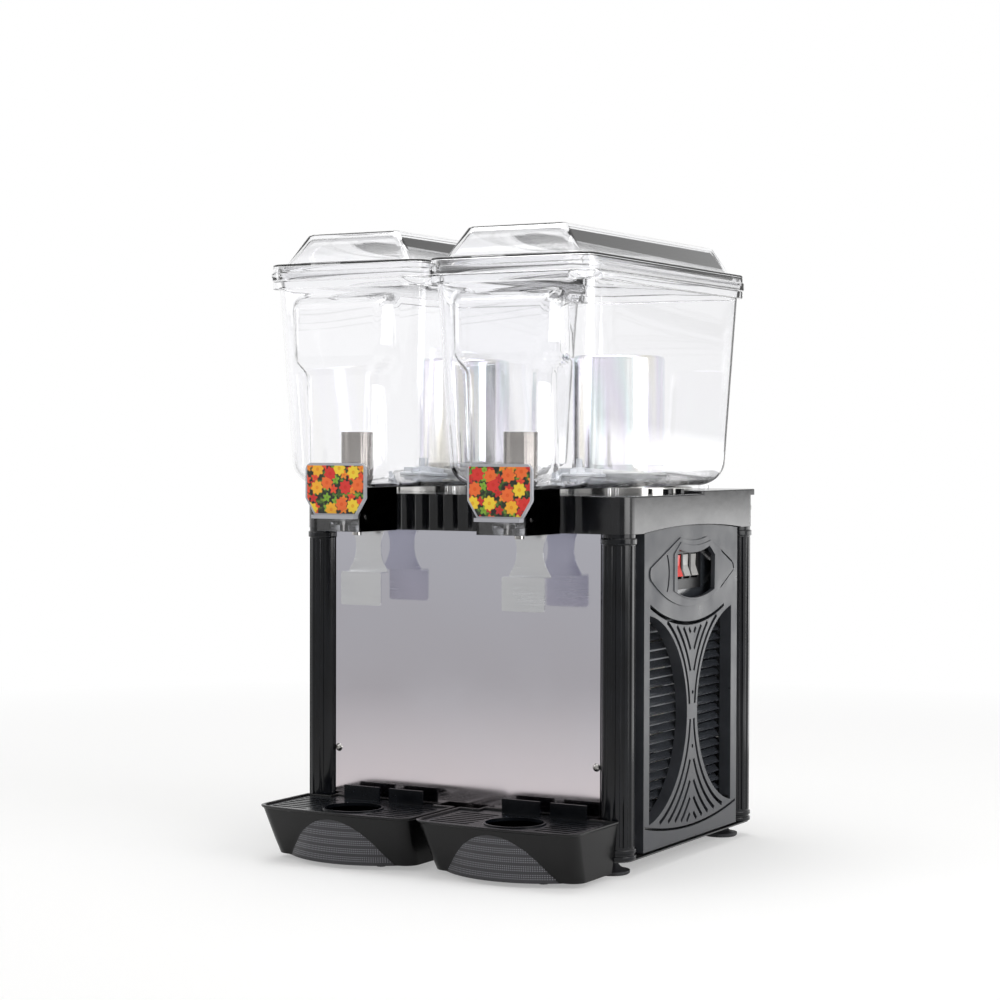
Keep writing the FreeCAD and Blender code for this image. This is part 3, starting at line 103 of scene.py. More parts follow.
def add(tree, kind, sockets=None, stops=(), **fields):
    """Adds a shader node, sets its fields and ramp stops, and fills or links its sockets. A node
    given for a socket is linked from its first output."""
    node = tree.nodes.new("ShaderNode" + kind)
    for field, value in fields.items():
        setattr(node, field, value)
    for number, (at, code) in enumerate(stops):
        ramp = node.color_ramp.elements
        stop = ramp[number] if number < 2 else ramp.new(at)
        stop.position = at
        stop.color = linear(code) if isinstance(code, str) else code
    for name, value in (sockets or {}).items():
        if isinstance(value, bpy.types.Node):
            value = value.outputs[0]
        if isinstance(value, bpy.types.NodeSocket):
            tree.links.new(value, node.inputs[name])
        else:
            node.inputs[name].default_value = value
    return node


def blank(name):
    """An empty material, and the place on the object that its patterns follow."""
    finish = bpy.data.materials.new(name)
    finish.use_nodes = True
    tree = finish.node_tree
    tree.nodes.clear()
    return finish, tree, add(tree, "TexCoord").outputs["Object"]


def seen_rays(tree):
    """One for rays that the camera, a reflection or a clear wall sends out, else nought."""
    path = add(tree, "LightPath").outputs
    share = path["Is Camera Ray"]
    for ray in ("Is Glossy Ray", "Is Transmission Ray"):
        share = add(tree, "Math", {0: share, 1: path[ray]}, operation="ADD", use_clamp=True)
    return share


def dress(finish, *names):
    """Gives CAD nodes a finish."""
    for name in names:
        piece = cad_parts[name]
        if not piece.material_slots:
            piece.data.materials.append(finish)
        for place in piece.material_slots:
            place.material = finish


def both(*stems):
    """The left and right nodes of each stem."""
    return [stem + "_" + side for stem in stems for side in SIDES]


# Finishes


def moulded_gloss_abs(name, code, worn, sheen=0.16, edge=0.0006, ior=1.42):
    """Injection moulded ABS from a polished tool: a deep even colour under a clear glossy skin,
    with faint handling haze in the gloss and a slight flow ripple that softens reflections."""
    finish, tree, where = blank(name)
    # Haze patches are about 40 mm across, as wiping leaves them.
    haze = add(tree, "TexNoise", {"Vector": where, "Scale": 1 / 0.04, "Detail": 4.0, "Roughness": 0.6})
    colour = add(tree, "ValToRGB", {"Fac": haze}, stops=((0.35, code), (0.7, worn)))
    gloss = add(tree, "MapRange", {
        "Value": haze, "From Min": 0.3, "From Max": 0.75,
        "To Min": sheen * 0.75, "To Max": sheen * 1.35})
    # Flow ripple of about 12 mm.
    ripple = add(tree, "TexNoise", {"Vector": where, "Scale": 1 / 0.012, "Detail": 1.0})
    rounded = add(tree, "Bevel", {"Radius": edge}, samples=4)
    bump = add(tree, "Bump", {
        "Height": ripple, "Strength": 0.05, "Distance": 0.0006, "Normal": rounded})
    shell = add(tree, "BsdfPrincipled", {
        "Base Color": colour, "Roughness": gloss, "IOR": ior, "Normal": bump})
    add(tree, "OutputMaterial", {"Surface": shell})
    return finish


def moulded_satin_plastic(name, code, worn, rough=0.42):
    """Plastic moulded against a spark-eroded tool: a fine even grain that scatters the light and
    leaves only a soft sheen."""
    finish, tree, where = blank(name)
    tone = add(tree, "TexNoise", {"Vector": where, "Scale": 1 / 0.03, "Detail": 3.0})
    colour = add(tree, "ValToRGB", {"Fac": tone}, stops=((0.35, code), (0.7, worn)))
    # Grit of 0.3 mm, drawn at 0.8 mm so that it shows.
    grit = add(tree, "TexNoise", {"Vector": where, "Scale": 1 / 0.0008, "Detail": 2.0})
    rounded = add(tree, "Bevel", {"Radius": 0.0004}, samples=4)
    bump = add(tree, "Bump", {"Height": grit, "Strength": 0.22, "Distance": 0.0003, "Normal": rounded})
    gloss = add(tree, "MapRange", {"Value": tone, "To Min": rough * 0.85, "To Max": rough * 1.15})
    shell = add(tree, "BsdfPrincipled", {
        "Base Color": colour, "Roughness": gloss, "IOR": 1.5, "Normal": bump})
    add(tree, "OutputMaterial", {"Surface": shell})
    return finish


def powder_coated_steel(name, code, worn, rough=0.3):
    """Sheet steel under baked powder paint: an even colour with a shallow orange-peel skin."""
    finish, tree, where = blank(name)
    tone = add(tree, "TexNoise", {"Vector": where, "Scale": 1 / 0.05, "Detail": 3.0})
    colour = add(tree, "ValToRGB", {"Fac": tone}, stops=((0.3, code), (0.75, worn)))
    # Orange peel of about 2 mm.
    peel = add(tree, "TexNoise", {"Vector": where, "Scale": 1 / 0.002, "Detail": 1.0})
    rounded = add(tree, "Bevel", {"Radius": 0.0005}, samples=4)
    bump = add(tree, "Bump", {"Height": peel, "Strength": 0.12, "Distance": 0.0003, "Normal": rounded})
    gloss = add(tree, "MapRange", {"Value": tone, "To Min": rough * 0.8, "To Max": rough * 1.2})
    shell = add(tree, "BsdfPrincipled", {
        "Base Color": colour, "Roughness": gloss,
        "IOR": 1.5, "Coat Weight": 0.3, "Coat Roughness": 0.1, "Normal": bump})
    add(tree, "OutputMaterial", {"Surface": shell})
    return finish


def stainless_steel(name, bright, dull, rough, brush, depth):
    """Stainless steel sheet. brush is the spacing of its brush lines along X, Y and Z in metres:
    long in the direction of the strokes, short across them. It gives streaked soft reflections."""
    finish, tree, where = blank(name)
    strokes = add(tree, "Mapping", {"Vector": where, "Scale": [1 / step for step in brush]})
    lines = add(tree, "TexNoise", {"Vector": strokes, "Scale": 1.0, "Detail": 3.0})
    # Fingerprints and wiping marks of about 60 mm.
    smear = add(tree, "TexNoise", {"Vector": where, "Scale": 1 / 0.06, "Detail": 4.0})
    both_marks = add(tree, "Math", {0: lines, 1: smear}, operation="MULTIPLY")
    colour = add(tree, "ValToRGB", {"Fac": smear}, stops=((0.3, bright), (0.75, dull)))
    gloss = add(tree, "MapRange", {
        "Value": both_marks, "From Min": 0.12, "From Max": 0.42,
        "To Min": rough * 0.7, "To Max": rough * 1.3})
    rounded = add(tree, "Bevel", {"Radius": 0.0004}, samples=4)
    bump = add(tree, "Bump", {
        "Height": lines, "Strength": depth, "Distance": 0.0002, "Normal": rounded})
    shell = add(tree, "BsdfPrincipled", {
        "Base Color": colour, "Metallic": 1.0, "Roughness": gloss, "Normal": bump})
    add(tree, "OutputMaterial", {"Surface": shell})
    return finish


def polished_evaporator(name):
    """Deep drawn stainless, buffed bright: upright draw bands that shift the reflections and a
    faint rainbow of warm and cool patches."""
    finish, tree, where = blank(name)
    # Draw bands are about 9 mm wide and run the whole height.
    bands = add(tree, "Mapping", {"Vector": where, "Scale": (1 / 0.009, 1 / 0.009, 1 / 0.9)})
    drawn = add(tree, "TexNoise", {"Vector": bands, "Scale": 1.0, "Detail": 3.0})
    wide = add(tree, "Mapping", {"Vector": where, "Scale": (1 / 0.03, 1 / 0.03, 1 / 0.25)})
    hue = add(tree, "TexNoise", {"Vector": wide, "Scale": 1.0, "Detail": 1.0})
    colour = add(tree, "ValToRGB", {"Fac": hue}, stops=(
        (0.3, "#E9E6DC"), (0.42, "#EDEBEC"), (0.52, "#E3DFEB"), (0.62, "#DFE9EA"), (0.72, "#ECEAE6")))
    gloss = add(tree, "MapRange", {
        "Value": drawn, "From Min": 0.3, "From Max": 0.7, "To Min": 0.07, "To Max": 0.17})
    bump = add(tree, "Bump", {"Height": drawn, "Strength": 0.12, "Distance": 0.0008})
    shell = add(tree, "BsdfPrincipled", {
        "Base Color": colour, "Metallic": 1.0, "Roughness": gloss, "Normal": bump})
    add(tree, "OutputMaterial", {"Surface": shell})
    return finish


def mirror_stainless(name):
    """Mirror polished stainless sheet: a clear reflection, slightly hazed, with a painted reflection of
    the room in its colour: cooler at the top and warmer towards the foot, broken up by wiping smears."""
    finish, tree, where = blank(name)
    height = add(tree, "SeparateXYZ", {"Vector": where}).outputs["Z"]
    smear = add(tree, "TexNoise", {"Vector": where, "Scale": 1 / 0.09, "Detail": 2.0})
    # Painted reflection of the room: the colour runs from warm at the foot to cool at the top, with the
    # wiping smears mixed in.
    smear_and_painted_room = add(tree, "Math", {0: smear, 1: 0.06, 2: height}, operation="MULTIPLY_ADD")
    painted_room_reflection = add(tree, "MapRange", {"Value": smear_and_painted_room, "From Min": 0.08, "From Max": 0.38})
    colour = add(tree, "ValToRGB", {"Fac": painted_room_reflection},
                 stops=((0.0, "#DAD0D3"), (0.45, "#E6E2E9"), (1.0, "#E9E9F3")))
    gloss = add(tree, "MapRange", {
        "Value": smear, "From Min": 0.3, "From Max": 0.7, "To Min": 0.05, "To Max": 0.12})
    # Sheet wave of about 150 mm, as thin polished sheet has between its screws.
    wave = add(tree, "TexNoise", {"Vector": where, "Scale": 1 / 0.15, "Detail": 0.0})
    bump = add(tree, "Bump", {"Height": wave, "Strength": 0.06, "Distance": 0.002})
    shell = add(tree, "BsdfPrincipled", {
        "Base Color": colour, "Metallic": 1.0, "Roughness": gloss, "Normal": bump})
    add(tree, "OutputMaterial", {"Surface": shell})
    return finish


def clear_polycarbonate(name, density):
    """Injection moulded clear polycarbonate: water clear face on, grey where the light runs along
    the wall, with a gentle flow wave from the mould."""
    finish, tree, where = blank(name)
    # Flow waves of about 90 mm.
    flow = add(tree, "TexNoise", {"Vector": where, "Scale": 1 / 0.09, "Detail": 0.0})
    bump = add(tree, "Bump", {"Height": flow, "Strength": 0.03, "Distance": 0.001})
    gloss = add(tree, "MapRange", {"Value": flow, "To Min": 0.0075, "To Max": 0.024})
    wall = add(tree, "BsdfPrincipled", {
        "Base Color": linear("#FEFEFF"), "Roughness": gloss, "IOR": 1.585,
        "Transmission Weight": 1.0, "Normal": bump})
    # Lamps shine through the wall, as they do through the real one.
    path = add(tree, "LightPath")
    through = add(tree, "BsdfTransparent", {"Color": (0.96, 0.97, 0.98, 1)})
    mix = add(tree, "MixShader", {0: path.outputs["Is Shadow Ray"], 1: wall, 2: through})
    # The grey of a wall seen edge on.
    depth = add(tree, "VolumeAbsorption", {"Color": linear("#9AA6B4"), "Density": density})
    add(tree, "OutputMaterial", {"Surface": mix, "Volume": depth})
    return finish


def moulded_rubber(name, code, worn):
    """Moulded rubber: dull, with a dusty bloom on its raised parts."""
    finish, tree, where = blank(name)
    dust = add(tree, "TexNoise", {"Vector": where, "Scale": 1 / 0.008, "Detail": 5.0})
    colour = add(tree, "ValToRGB", {"Fac": dust}, stops=((0.35, code), (0.75, worn)))
    bump = add(tree, "Bump", {"Height": dust, "Strength": 0.15, "Distance": 0.0004})
    shell = add(tree, "BsdfPrincipled", {
        "Base Color": colour, "Roughness": 0.62, "IOR": 1.5, "Normal": bump})
    add(tree, "OutputMaterial", {"Surface": shell})
    return finish


def copper_tube(name):
    """Drawn copper tube: warm metal with brown tarnish in patches."""
    finish, tree, where = blank(name)
    tarnish = add(tree, "TexNoise", {"Vector": where, "Scale": 1 / 0.012, "Detail": 5.0})
    colour = add(tree, "ValToRGB", {"Fac": tarnish},
                 stops=((0.35, "#D08A62"), (0.6, "#B06C48"), (0.8, "#7A4A34")))
    gloss = add(tree, "MapRange", {"Value": tarnish, "To Min": 0.18, "To Max": 0.5})
    shell = add(tree, "BsdfPrincipled", {"Base Color": colour, "Metallic": 1.0, "Roughness": gloss})
    add(tree, "OutputMaterial", {"Surface": shell})
    return finish


def finned_aluminium(name):
    """A stack of thin aluminium fins: bright upright lines with painted shade in the gaps between them.
    The tube bends outside its end plate are bare and bright."""
    finish, tree, where = blank(name)
    across = add(tree, "SeparateXYZ", {"Vector": where}).outputs["X"]
    outside = add(tree, "Math", {0: across, 1: CONDENSER_END}, operation="GREATER_THAN")
    # Fins stand 1.4 mm apart along X.
    fins = add(tree, "TexWave", {"Vector": where, "Scale": WAVE_STEP / 0.0013823}, bands_direction="X")
    # The dark stop is painted shade in the gaps between the fins; the light stop is the fins' own edges.
    colour = add(tree, "ValToRGB", {"Fac": fins.outputs["Fac"]}, stops=((0.3, "#16171A"), (0.6, "#85878B")))
    face = add(tree, "Mix", {0: outside, 6: colour, 7: linear("#F6F1E8")}, data_type="RGBA")
    bump = add(tree, "Bump", {"Height": fins.outputs["Fac"], "Strength": 0.6, "Distance": 0.001})
    shell = add(tree, "BsdfPrincipled", {
        "Base Color": face.outputs[2], "Metallic": 0.85, "Roughness": 0.28, "Normal": bump})
    add(tree, "OutputMaterial", {"Surface": shell})
    return finish


def printed_cover(name, middle):
    """Gloss printed panel of the tap cover: a bright pattern of blossoms and leaves on a dark
    ground inside a plain light grey border, under a clear laminate."""
    finish, tree, where = blank(name)
    place = add(tree, "SeparateXYZ", {"Vector": where}).outputs
    flat = add(tree, "CombineXYZ", {"X": place["X"], "Y": place["Z"]})
    # Leaves of about 7 mm make the ground.
    ground = add(tree, "TexNoise", {"Vector": flat, "Scale": 1 / 0.007, "Detail": 3.0})
    colour = add(tree, "ValToRGB", {"Fac": ground}, stops=(
        (0.38, "#141210"), (0.5, "#1F2B12"), (0.58, "#3F5E18"), (0.7, "#7FA32A")))
    # Small blossoms, then large ones over them. Each kind has its pitch in metres, its shift, its
    # count of petals, and how far it reaches between petals and at their tips. Shift and reach are
    # in pitches.
    for pitch, shift, petals, dip, tip, palette in (
            (0.0115, (0.3, 0.7, 0), 5.0, 0.26, 0.46,
             ((0.0, "#C9201C"), (0.3, "#E8471F"), (0.55, "#F08A1D"), (0.8, "#7DAE2B"))),
            (0.0185, (4.3, 2.2, 0), 8.0, 0.34, 0.44,
             ((0.0, "#F2CF2B"), (0.3, "#EE6A22"), (0.6, "#D9281F"), (0.85, "#F6B21C")))):
        moved = add(tree, "Mapping", {"Vector": flat, "Location": shift, "Scale": (1 / pitch,) * 3})
        cells = add(tree, "TexVoronoi", {"Vector": moved, "Scale": 1.0, "Randomness": 0.62},
                    voronoi_dimensions="2D", feature="F1").outputs
        reach = add(tree, "VectorMath", {0: moved, 1: cells["Position"]}, operation="SUBTRACT")
        spoke = add(tree, "SeparateXYZ", {"Vector": reach}).outputs
        chance = add(tree, "SeparateColor", {"Color": cells["Color"]}).outputs
        angle = add(tree, "Math", {0: spoke["Y"], 1: spoke["X"]}, operation="ARCTAN2")
        turn = add(tree, "Math", {0: angle, 1: petals, 2: chance["Green"]}, operation="MULTIPLY_ADD")
        swing = add(tree, "Math", {0: turn}, operation="SINE")
        edge = add(tree, "Math", {0: swing, 1: (tip - dip) / 2, 2: (tip + dip) / 2},
                   operation="MULTIPLY_ADD")
        inside = add(tree, "Math", {0: cells["Distance"], 1: edge}, operation="DIVIDE")
        petal = add(tree, "ValToRGB", {"Fac": chance["Red"]}, stops=palette)
        petal.color_ramp.interpolation = "CONSTANT"
        heart = add(tree, "ValToRGB", {"Fac": inside}, stops=(
            (0.0, "#F8E58A"), (0.22, "#F3C64A"), (0.3, "#FFFFFF"), (0.82, "#FFFFFF"), (1.0, "#F9EBD8")))
        tinted = add(tree, "Mix", {0: 1.0, 6: petal, 7: heart}, data_type="RGBA", blend_type="MULTIPLY")
        mask = add(tree, "Math", {0: inside, 1: 1.0}, operation="LESS_THAN")
        colour = add(tree, "Mix", {0: mask, 6: colour, 7: tinted.outputs[2]}, data_type="RGBA").outputs[2]
    # The plain border is all that lies outside the picture's sides, cut lower corners, top and foot,
    # and behind the plate's face. The corners go out 11.4 mm over 18 mm of height.
    across = add(tree, "Math", {0: place["X"], 1: middle}, operation="SUBTRACT")
    across = add(tree, "Math", {0: across}, operation="ABSOLUTE")
    climb = add(tree, "Math", {0: place["Z"], 1: COVER_LEVEL - 0.028}, operation="SUBTRACT")
    corner = add(tree, "Math", {0: climb, 1: 11.4 / 18, 2: 0.0245}, operation="MULTIPLY_ADD")
    picture = 1.0
    for spot, limit, test in (
            (across, 0.0362, "LESS_THAN"), (across, corner, "LESS_THAN"),
            (place["Z"], COVER_LEVEL + 0.0252, "LESS_THAN"),
            (place["Z"], COVER_LEVEL - 0.0265, "GREATER_THAN"),
            (place["Y"], COVER_FACE, "LESS_THAN")):
        within = add(tree, "Math", {0: spot, 1: limit}, operation=test)
        picture = add(tree, "Math", {0: picture, 1: within}, operation="MINIMUM")
    face = add(tree, "Mix", {0: picture, 6: linear("#A9AAB0"), 7: colour}, data_type="RGBA")
    shell = add(tree, "BsdfPrincipled", {
        "Base Color": face.outputs[2], "Roughness": 0.28, "IOR": 1.5,
        "Coat Weight": 0.5, "Coat Roughness": 0.08})
    add(tree, "OutputMaterial", {"Surface": shell})
    return finish


def stippled_tray(name):
    """Gloss black ABS tray: a fine upright ribbing moulded into its front and bands of stipple on
    the round bulge alone. The bulge is painted a lighter grey and its stipple dots light grey: painted
    sheen where the texture catches the light."""
    finish, tree, where = blank(name)
    place = add(tree, "SeparateXYZ", {"Vector": where}).outputs
    # Stipple dots stand in rows 2.2 mm apart, in bands that climb the bulge every 9 mm of height.
    waves = []
    for axis, step in (("X", 0.0022), ("Z", 0.0022), ("Z", 0.009)):
        turn = add(tree, "Math", {0: place[axis], 1: math.tau / step}, operation="MULTIPLY")
        waves.append(add(tree, "Math", {0: turn}, operation="SINE"))
    rows = add(tree, "Math", {0: waves[0], 1: waves[1]}, operation="ADD")
    dot = add(tree, "MapRange", {"Value": rows, "From Min": 0.2, "From Max": 1.2})
    band = add(tree, "Math", {0: waves[2], 1: -0.4}, operation="GREATER_THAN")
    ahead = add(tree, "Math", {0: place["Y"], 1: TRAY_FRONT}, operation="LESS_THAN")
    # The bulge is what lies within its own radius of its leaning axis.
    aside = add(tree, "Math", {0: place["X"]}, operation="ABSOLUTE")
    aside = add(tree, "Math", {0: aside, 1: TRAY_MIDDLE}, operation="SUBTRACT")
    axis = add(tree, "Math", {0: place["Z"], 1: -BULGE_LEAN, 2: BULGE_RADIUS - BULGE_REACH + FRAME_SHIFT},
               operation="MULTIPLY_ADD")
    back = add(tree, "Math", {0: place["Y"], 1: axis}, operation="SUBTRACT")
    spoke = add(tree, "CombineXYZ", {"X": aside, "Y": back})
    reach = add(tree, "VectorMath", {0: spoke}, operation="LENGTH").outputs["Value"]
    within = add(tree, "Math", {0: reach, 1: BULGE_RADIUS + 0.0002}, operation="LESS_THAN")
    bulge = add(tree, "Math", {0: within, 1: ahead}, operation="MULTIPLY")
    marked = add(tree, "Math", {0: dot, 1: band}, operation="MULTIPLY")
    marked = add(tree, "Math", {0: marked, 1: bulge}, operation="MULTIPLY")
    # Haze patches are about 50 mm across.
    haze = add(tree, "TexNoise", {"Vector": where, "Scale": 1 / 0.05, "Detail": 4.0})
    plain = add(tree, "ValToRGB", {"Fac": haze}, stops=((0.35, "#060607"), (0.7, "#0D0D0E")))
    # Painted sheen: the bulge is painted a lighter grey and its stipple dots light grey, where the textured
    # black catches the light.
    plain_with_painted_bulge_sheen = add(tree, "Mix", {0: bulge, 6: plain, 7: linear("#3A3A3D")}, data_type="RGBA")
    face = add(tree, "Mix", {0: marked, 6: plain_with_painted_bulge_sheen.outputs[2], 7: linear("#77777D")}, data_type="RGBA")
    # Upright ribs stand 0.75 mm apart.
    ribs = add(tree, "TexWave", {"Vector": where, "Scale": WAVE_STEP / 0.00075398}, bands_direction="X")
    relief = add(tree, "Math", {0: ribs.outputs["Fac"], 1: ahead}, operation="MULTIPLY")
    relief = add(tree, "Math", {0: relief, 1: 0.25, 2: marked}, operation="MULTIPLY_ADD")
    rounded = add(tree, "Bevel", {"Radius": 0.0008}, samples=4)
    bump = add(tree, "Bump", {"Height": relief, "Strength": 0.25, "Distance": 0.0003, "Normal": rounded})
    gloss = add(tree, "MapRange", {"Value": haze, "To Min": 0.14, "To Max": 0.3})
    shell = add(tree, "BsdfPrincipled", {
        "Base Color": face.outputs[2], "Roughness": gloss, "IOR": 1.4, "Normal": bump})
    add(tree, "OutputMaterial", {"Surface": shell})
    return finish


# Clear mouldings


def eased(value, start, stop):
    """Nought before start and one after stop, with a smooth run between them."""
    part = min(max((value - start) / (stop - start), 0.0), 1.0)
    return part * part * (3 - 2 * part)


def blended(level, low, high):
    """The plan at a height between two others."""
    part = (level - low[0]) / (high[0] - low[0])
    return [level] + [a + (b - a) * part for a, b in zip(low[1:], high[1:])]


def plan_ring(middle, plan, front_at=None):
    """Points round a plan with round corners, close together along the front wall. front_at gives
    the front wall's reach at a distance from the middle, where the wall isn't flat."""
    level, half, front, rear, corner = plan
    spots = []
    for across, along, start in ((1, rear, 0), (-1, rear, 90), (-1, -front, 180), (1, -front, 270)):
        if start == 270:
            run = half - corner
            spots += [(run * (2 * step / FRONT_CUTS - 1), -front) for step in range(1, FRONT_CUTS)]
        pivot_x = across * (half - corner)
        pivot_y = along - math.copysign(corner, along)
        for step in range(CORNER_CUTS + 1):
            angle = math.radians(start + 90 * step / CORNER_CUTS)
            spots.append((pivot_x + corner * math.cos(angle), pivot_y + corner * math.sin(angle)))
    ring = []
    for x, y in spots:
        if front_at and y < 0:
            y = front_at(abs(x), level, y)
        ring.append((middle + x, y + FRAME_SHIFT, level))
    return ring


def round_hole(middle, along, radius, level, count=72):
    """Points round a level circle."""
    turns = [math.tau * step / count for step in range(count)]
    along += FRAME_SHIFT
    return [(middle + radius * math.cos(turn), along + radius * math.sin(turn), level) for turn in turns]


def bridged(shape, rings):
    """Skins a run of rings of equal count, and gives their vertices."""
    rows = [[shape.verts.new(spot) for spot in ring] for ring in rings]
    for low, high in zip(rows, rows[1:]):
        for at in range(len(low)):
            after = (at + 1) % len(low)
            shape.faces.new((low[at], low[after], high[after], high[at]))
    return rows


def closed_between(shape, *rows):
    """Fills the flat face between an outer row of vertices and the holes in it."""
    edges = []
    for row in rows:
        for at, vert in enumerate(row):
            after = row[(at + 1) % len(row)]
            edges.append(shape.edges.get((vert, after)) or shape.edges.new((vert, after)))
    bmesh.ops.triangle_fill(shape, edges=edges, use_beauty=True)


def shaded(shape, name, finish, body):
    """Makes a piece of a finished mesh, smooth but for its real edges, riding on a body."""
    bmesh.ops.recalc_face_normals(shape, faces=shape.faces)
    for face in shape.faces:
        face.smooth = True
    for edge in shape.edges:
        edge.smooth = edge.calc_face_angle(0) < SMOOTH_TURN
    mesh = bpy.data.meshes.new(name)
    shape.to_mesh(mesh)
    shape.free()
    mesh.materials.append(finish)
    piece = bpy.data.objects.new(name, mesh)
    bpy.context.scene.collection.objects.link(piece)
    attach(piece, body)
    return piece


def tank_plan(level, inset):
    """The tank's plan at a height, drawn in by inset, with the round foot taken off."""
    half, front, rear, corner = blended(min(level, TANK_RIM[0]), TANK_LOW, TANK_RIM)[1:]
    foot = FOOT - inset
    rise = min(level - (FLOOR_TOP if inset else FLOOR_UNDER), foot)
    drawn = inset + foot - math.sqrt(max(foot * foot - (foot - rise) ** 2, 0))
    # The corners tighten by half of what is drawn in, down to 9 mm.
    return [level, half - drawn, front - drawn, rear - drawn, max(corner - drawn * 0.5, 0.009)]


def tank_front(inset):
    """How far out the front wall stands across the tap bay, which swells from the wall."""
    def reach(across, level, y):
        half = BAY_HALF + BAY_WIDER * eased(level, *BAY_STEP)
        bay = BAY_REACH + BAY_FURTHER * eased(level, *BAY_STEP) - inset
        # Its sides slope back over 17 mm of width.
        share = 1 - eased(across, half - 0.009, half + 0.008)
        share *= 1 - eased(level, *BAY_END)
        return y - max(bay + y, 0) * share
    return reach


def clear_bowl(side, finish):
    """The bowl: a tapered tank with a round foot and a swelling tap bay, a flange that the lid
    sits round, a collar for the evaporator and a spindle for the stirrer."""
    name = "bowl_" + side
    low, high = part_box(name)
    middle = (low.x + high.x) / 2
    shape = bmesh.new()
    # The wall is cut across more closely where it turns: at the foot, the bay's step and its top.
    outer_levels = [FLOOR_UNDER + FOOT * (1 - math.cos(math.radians(9 * step))) for step in range(11)]
    outer_levels += [0.449, 0.470, 0.491, 0.512, 0.530, 0.534, 0.538, 0.542, 0.546, 0.552]
    outer_levels += [0.570, 0.588, 0.602, 0.605, 0.608, 0.611, 0.614, 0.617, 0.620, 0.6252]
    rings = [plan_ring(middle, tank_plan(level, 0), tank_front(0)) for level in outer_levels]
    # The flange under the lid, the collar above it and the rounded rim.
    rings += [plan_ring(middle, plan) for plan in (
        (0.626, 0.097, 0.2428, 0.1483, 0.0264), (0.626, 0.099, 0.2464, 0.1519, 0.022),
        (0.6266, 0.0996, 0.247, 0.1525, 0.0222), (0.6334, 0.0996, 0.247, 0.1525, 0.0222),
        (0.634, 0.099, 0.2464, 0.1519, 0.022), (0.634, 0.097, 0.2428, 0.1483, 0.0206),
        (0.6348, 0.0962, 0.242, 0.1475, 0.020), (0.6494, 0.0962, 0.242, 0.1475, 0.020),
        (TANK_TOP, 0.0955, 0.2413, 0.1468, 0.0193), (TANK_TOP, 0.0944, 0.2402, 0.1457, 0.0182),
        (0.6494, 0.0937, 0.2395, 0.145, 0.0175))]
    inner_levels = [level for level in reversed(outer_levels) if level > FLOOR_TOP + FOOT - WALL]
    inner_levels += [
        FLOOR_TOP + (FOOT - WALL) * (1 - math.sin(math.radians(9 * step))) for step in range(11)]
    rings += [plan_ring(middle, tank_plan(level, WALL), tank_front(WALL)) for level in inner_levels]
    rows = bridged(shape, rings)
    collar = bridged(shape, [round_hole(middle, EVAPORATOR_Y, radius, level) for radius, level in (
        (0.057, FLOOR_TOP), (0.057, 0.4192), (0.0562, 0.420), (0.0542, 0.420), (0.0534, 0.4192),
        (0.0534, FLOOR_UNDER))])
    bore = bridged(shape, [round_hole(middle, TAP_Y, radius, level) for radius, level in (
        (0.017, FLOOR_TOP), (0.016, 0.4125), (0.016, FLOOR_UNDER))])
    closed_between(shape, rows[-1], collar[0], bore[0])
    closed_between(shape, rows[0], collar[-1], bore[-1])
    piece = shaded(shape, "clear_" + name, finish, name)

    shape = bmesh.new()
    pin = bridged(shape, [round_hole(middle, SPINDLE_Y, radius, level, 32) for radius, level in (
        (0.006, 0.4136), (0.0042, 0.4142), (0.003, 0.4155), (0.003, 0.4188), (0.0022, 0.4195))])
    for row in (pin[0], pin[-1]):
        shape.faces.new(row)
    shaded(shape, "spindle_" + side, finish, name)

    # Below the floor the tap barrel, its channel and the legs keep the solid's own form.
    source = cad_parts[name]
    shape = bmesh.new()
    shape.from_mesh(source.data)
    shape.transform(source.matrix_world)
    bmesh.ops.bisect_plane(shape, geom=shape.verts[:] + shape.edges[:] + shape.faces[:], dist=1e-6,
                           plane_co=(0, 0, FLOOR_UNDER - 0.00012), plane_no=(0, 0, 1), clear_outer=True)
    bmesh.ops.holes_fill(shape, edges=[edge for edge in shape.edges if edge.is_boundary], sides=0)
    shaded(shape, "tap_channel_" + side, finish, name)
    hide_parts(name)


def clear_lid(side, finish):
    """The lid: a skirt round the bowl's wall, a narrow plate and a raised dome, all with soft edges."""
    name = "lid_" + side
    low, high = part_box(name)
    middle = (low.x + high.x) / 2
    shape = bmesh.new()
    rows = bridged(shape, [plan_ring(middle, plan) for plan in (
        (0.6835, 0.0545, 0.2215, 0.1395, 0.004), (0.6826, 0.0562, 0.2232, 0.1412, 0.005),
        (0.6535, 0.0765, 0.2355, 0.147, 0.0085), (0.6512, 0.0785, 0.2372, 0.1476, 0.010),
        (0.6505, 0.081, 0.2386, 0.1478, 0.011), (0.6505, 0.0962, 0.242, 0.1479, 0.016),
        (0.6497, 0.097, 0.2428, 0.1483, 0.0168), (0.646, 0.0974, 0.2432, 0.1487, 0.0172),
        (0.6356, 0.0974, 0.2432, 0.1487, 0.0172), (0.635, 0.0979, 0.2437, 0.1492, 0.0177),
        (0.635, 0.0997, 0.2471, 0.1526, 0.0196), (0.6356, 0.1003, 0.2477, 0.1532, 0.0202),
        (0.6432, 0.1003, 0.2477, 0.1532, 0.0202), (0.644, 0.0995, 0.2469, 0.1524, 0.0194),
        (0.6447, 0.0988, 0.2462, 0.1517, 0.0187), (0.6508, 0.0987, 0.2461, 0.1516, 0.0186),
        (0.6524, 0.0982, 0.2456, 0.1512, 0.0181), (0.653, 0.0972, 0.2448, 0.1506, 0.0172),
        (0.653, 0.0818, 0.2394, 0.1502, 0.0105), (0.6536, 0.0803, 0.2384, 0.1498, 0.0095),
        (0.655, 0.0792, 0.2376, 0.1494, 0.009), (0.6815, 0.0612, 0.227, 0.1443, 0.0065),
        (0.6845, 0.0592, 0.2256, 0.1436, 0.006), (0.686, 0.0562, 0.2228, 0.1412, 0.005))])
    for row in (rows[0], rows[-1]):
        closed_between(shape, row)
    piece = shaded(shape, "clear_" + name, finish, name)
    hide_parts(name)


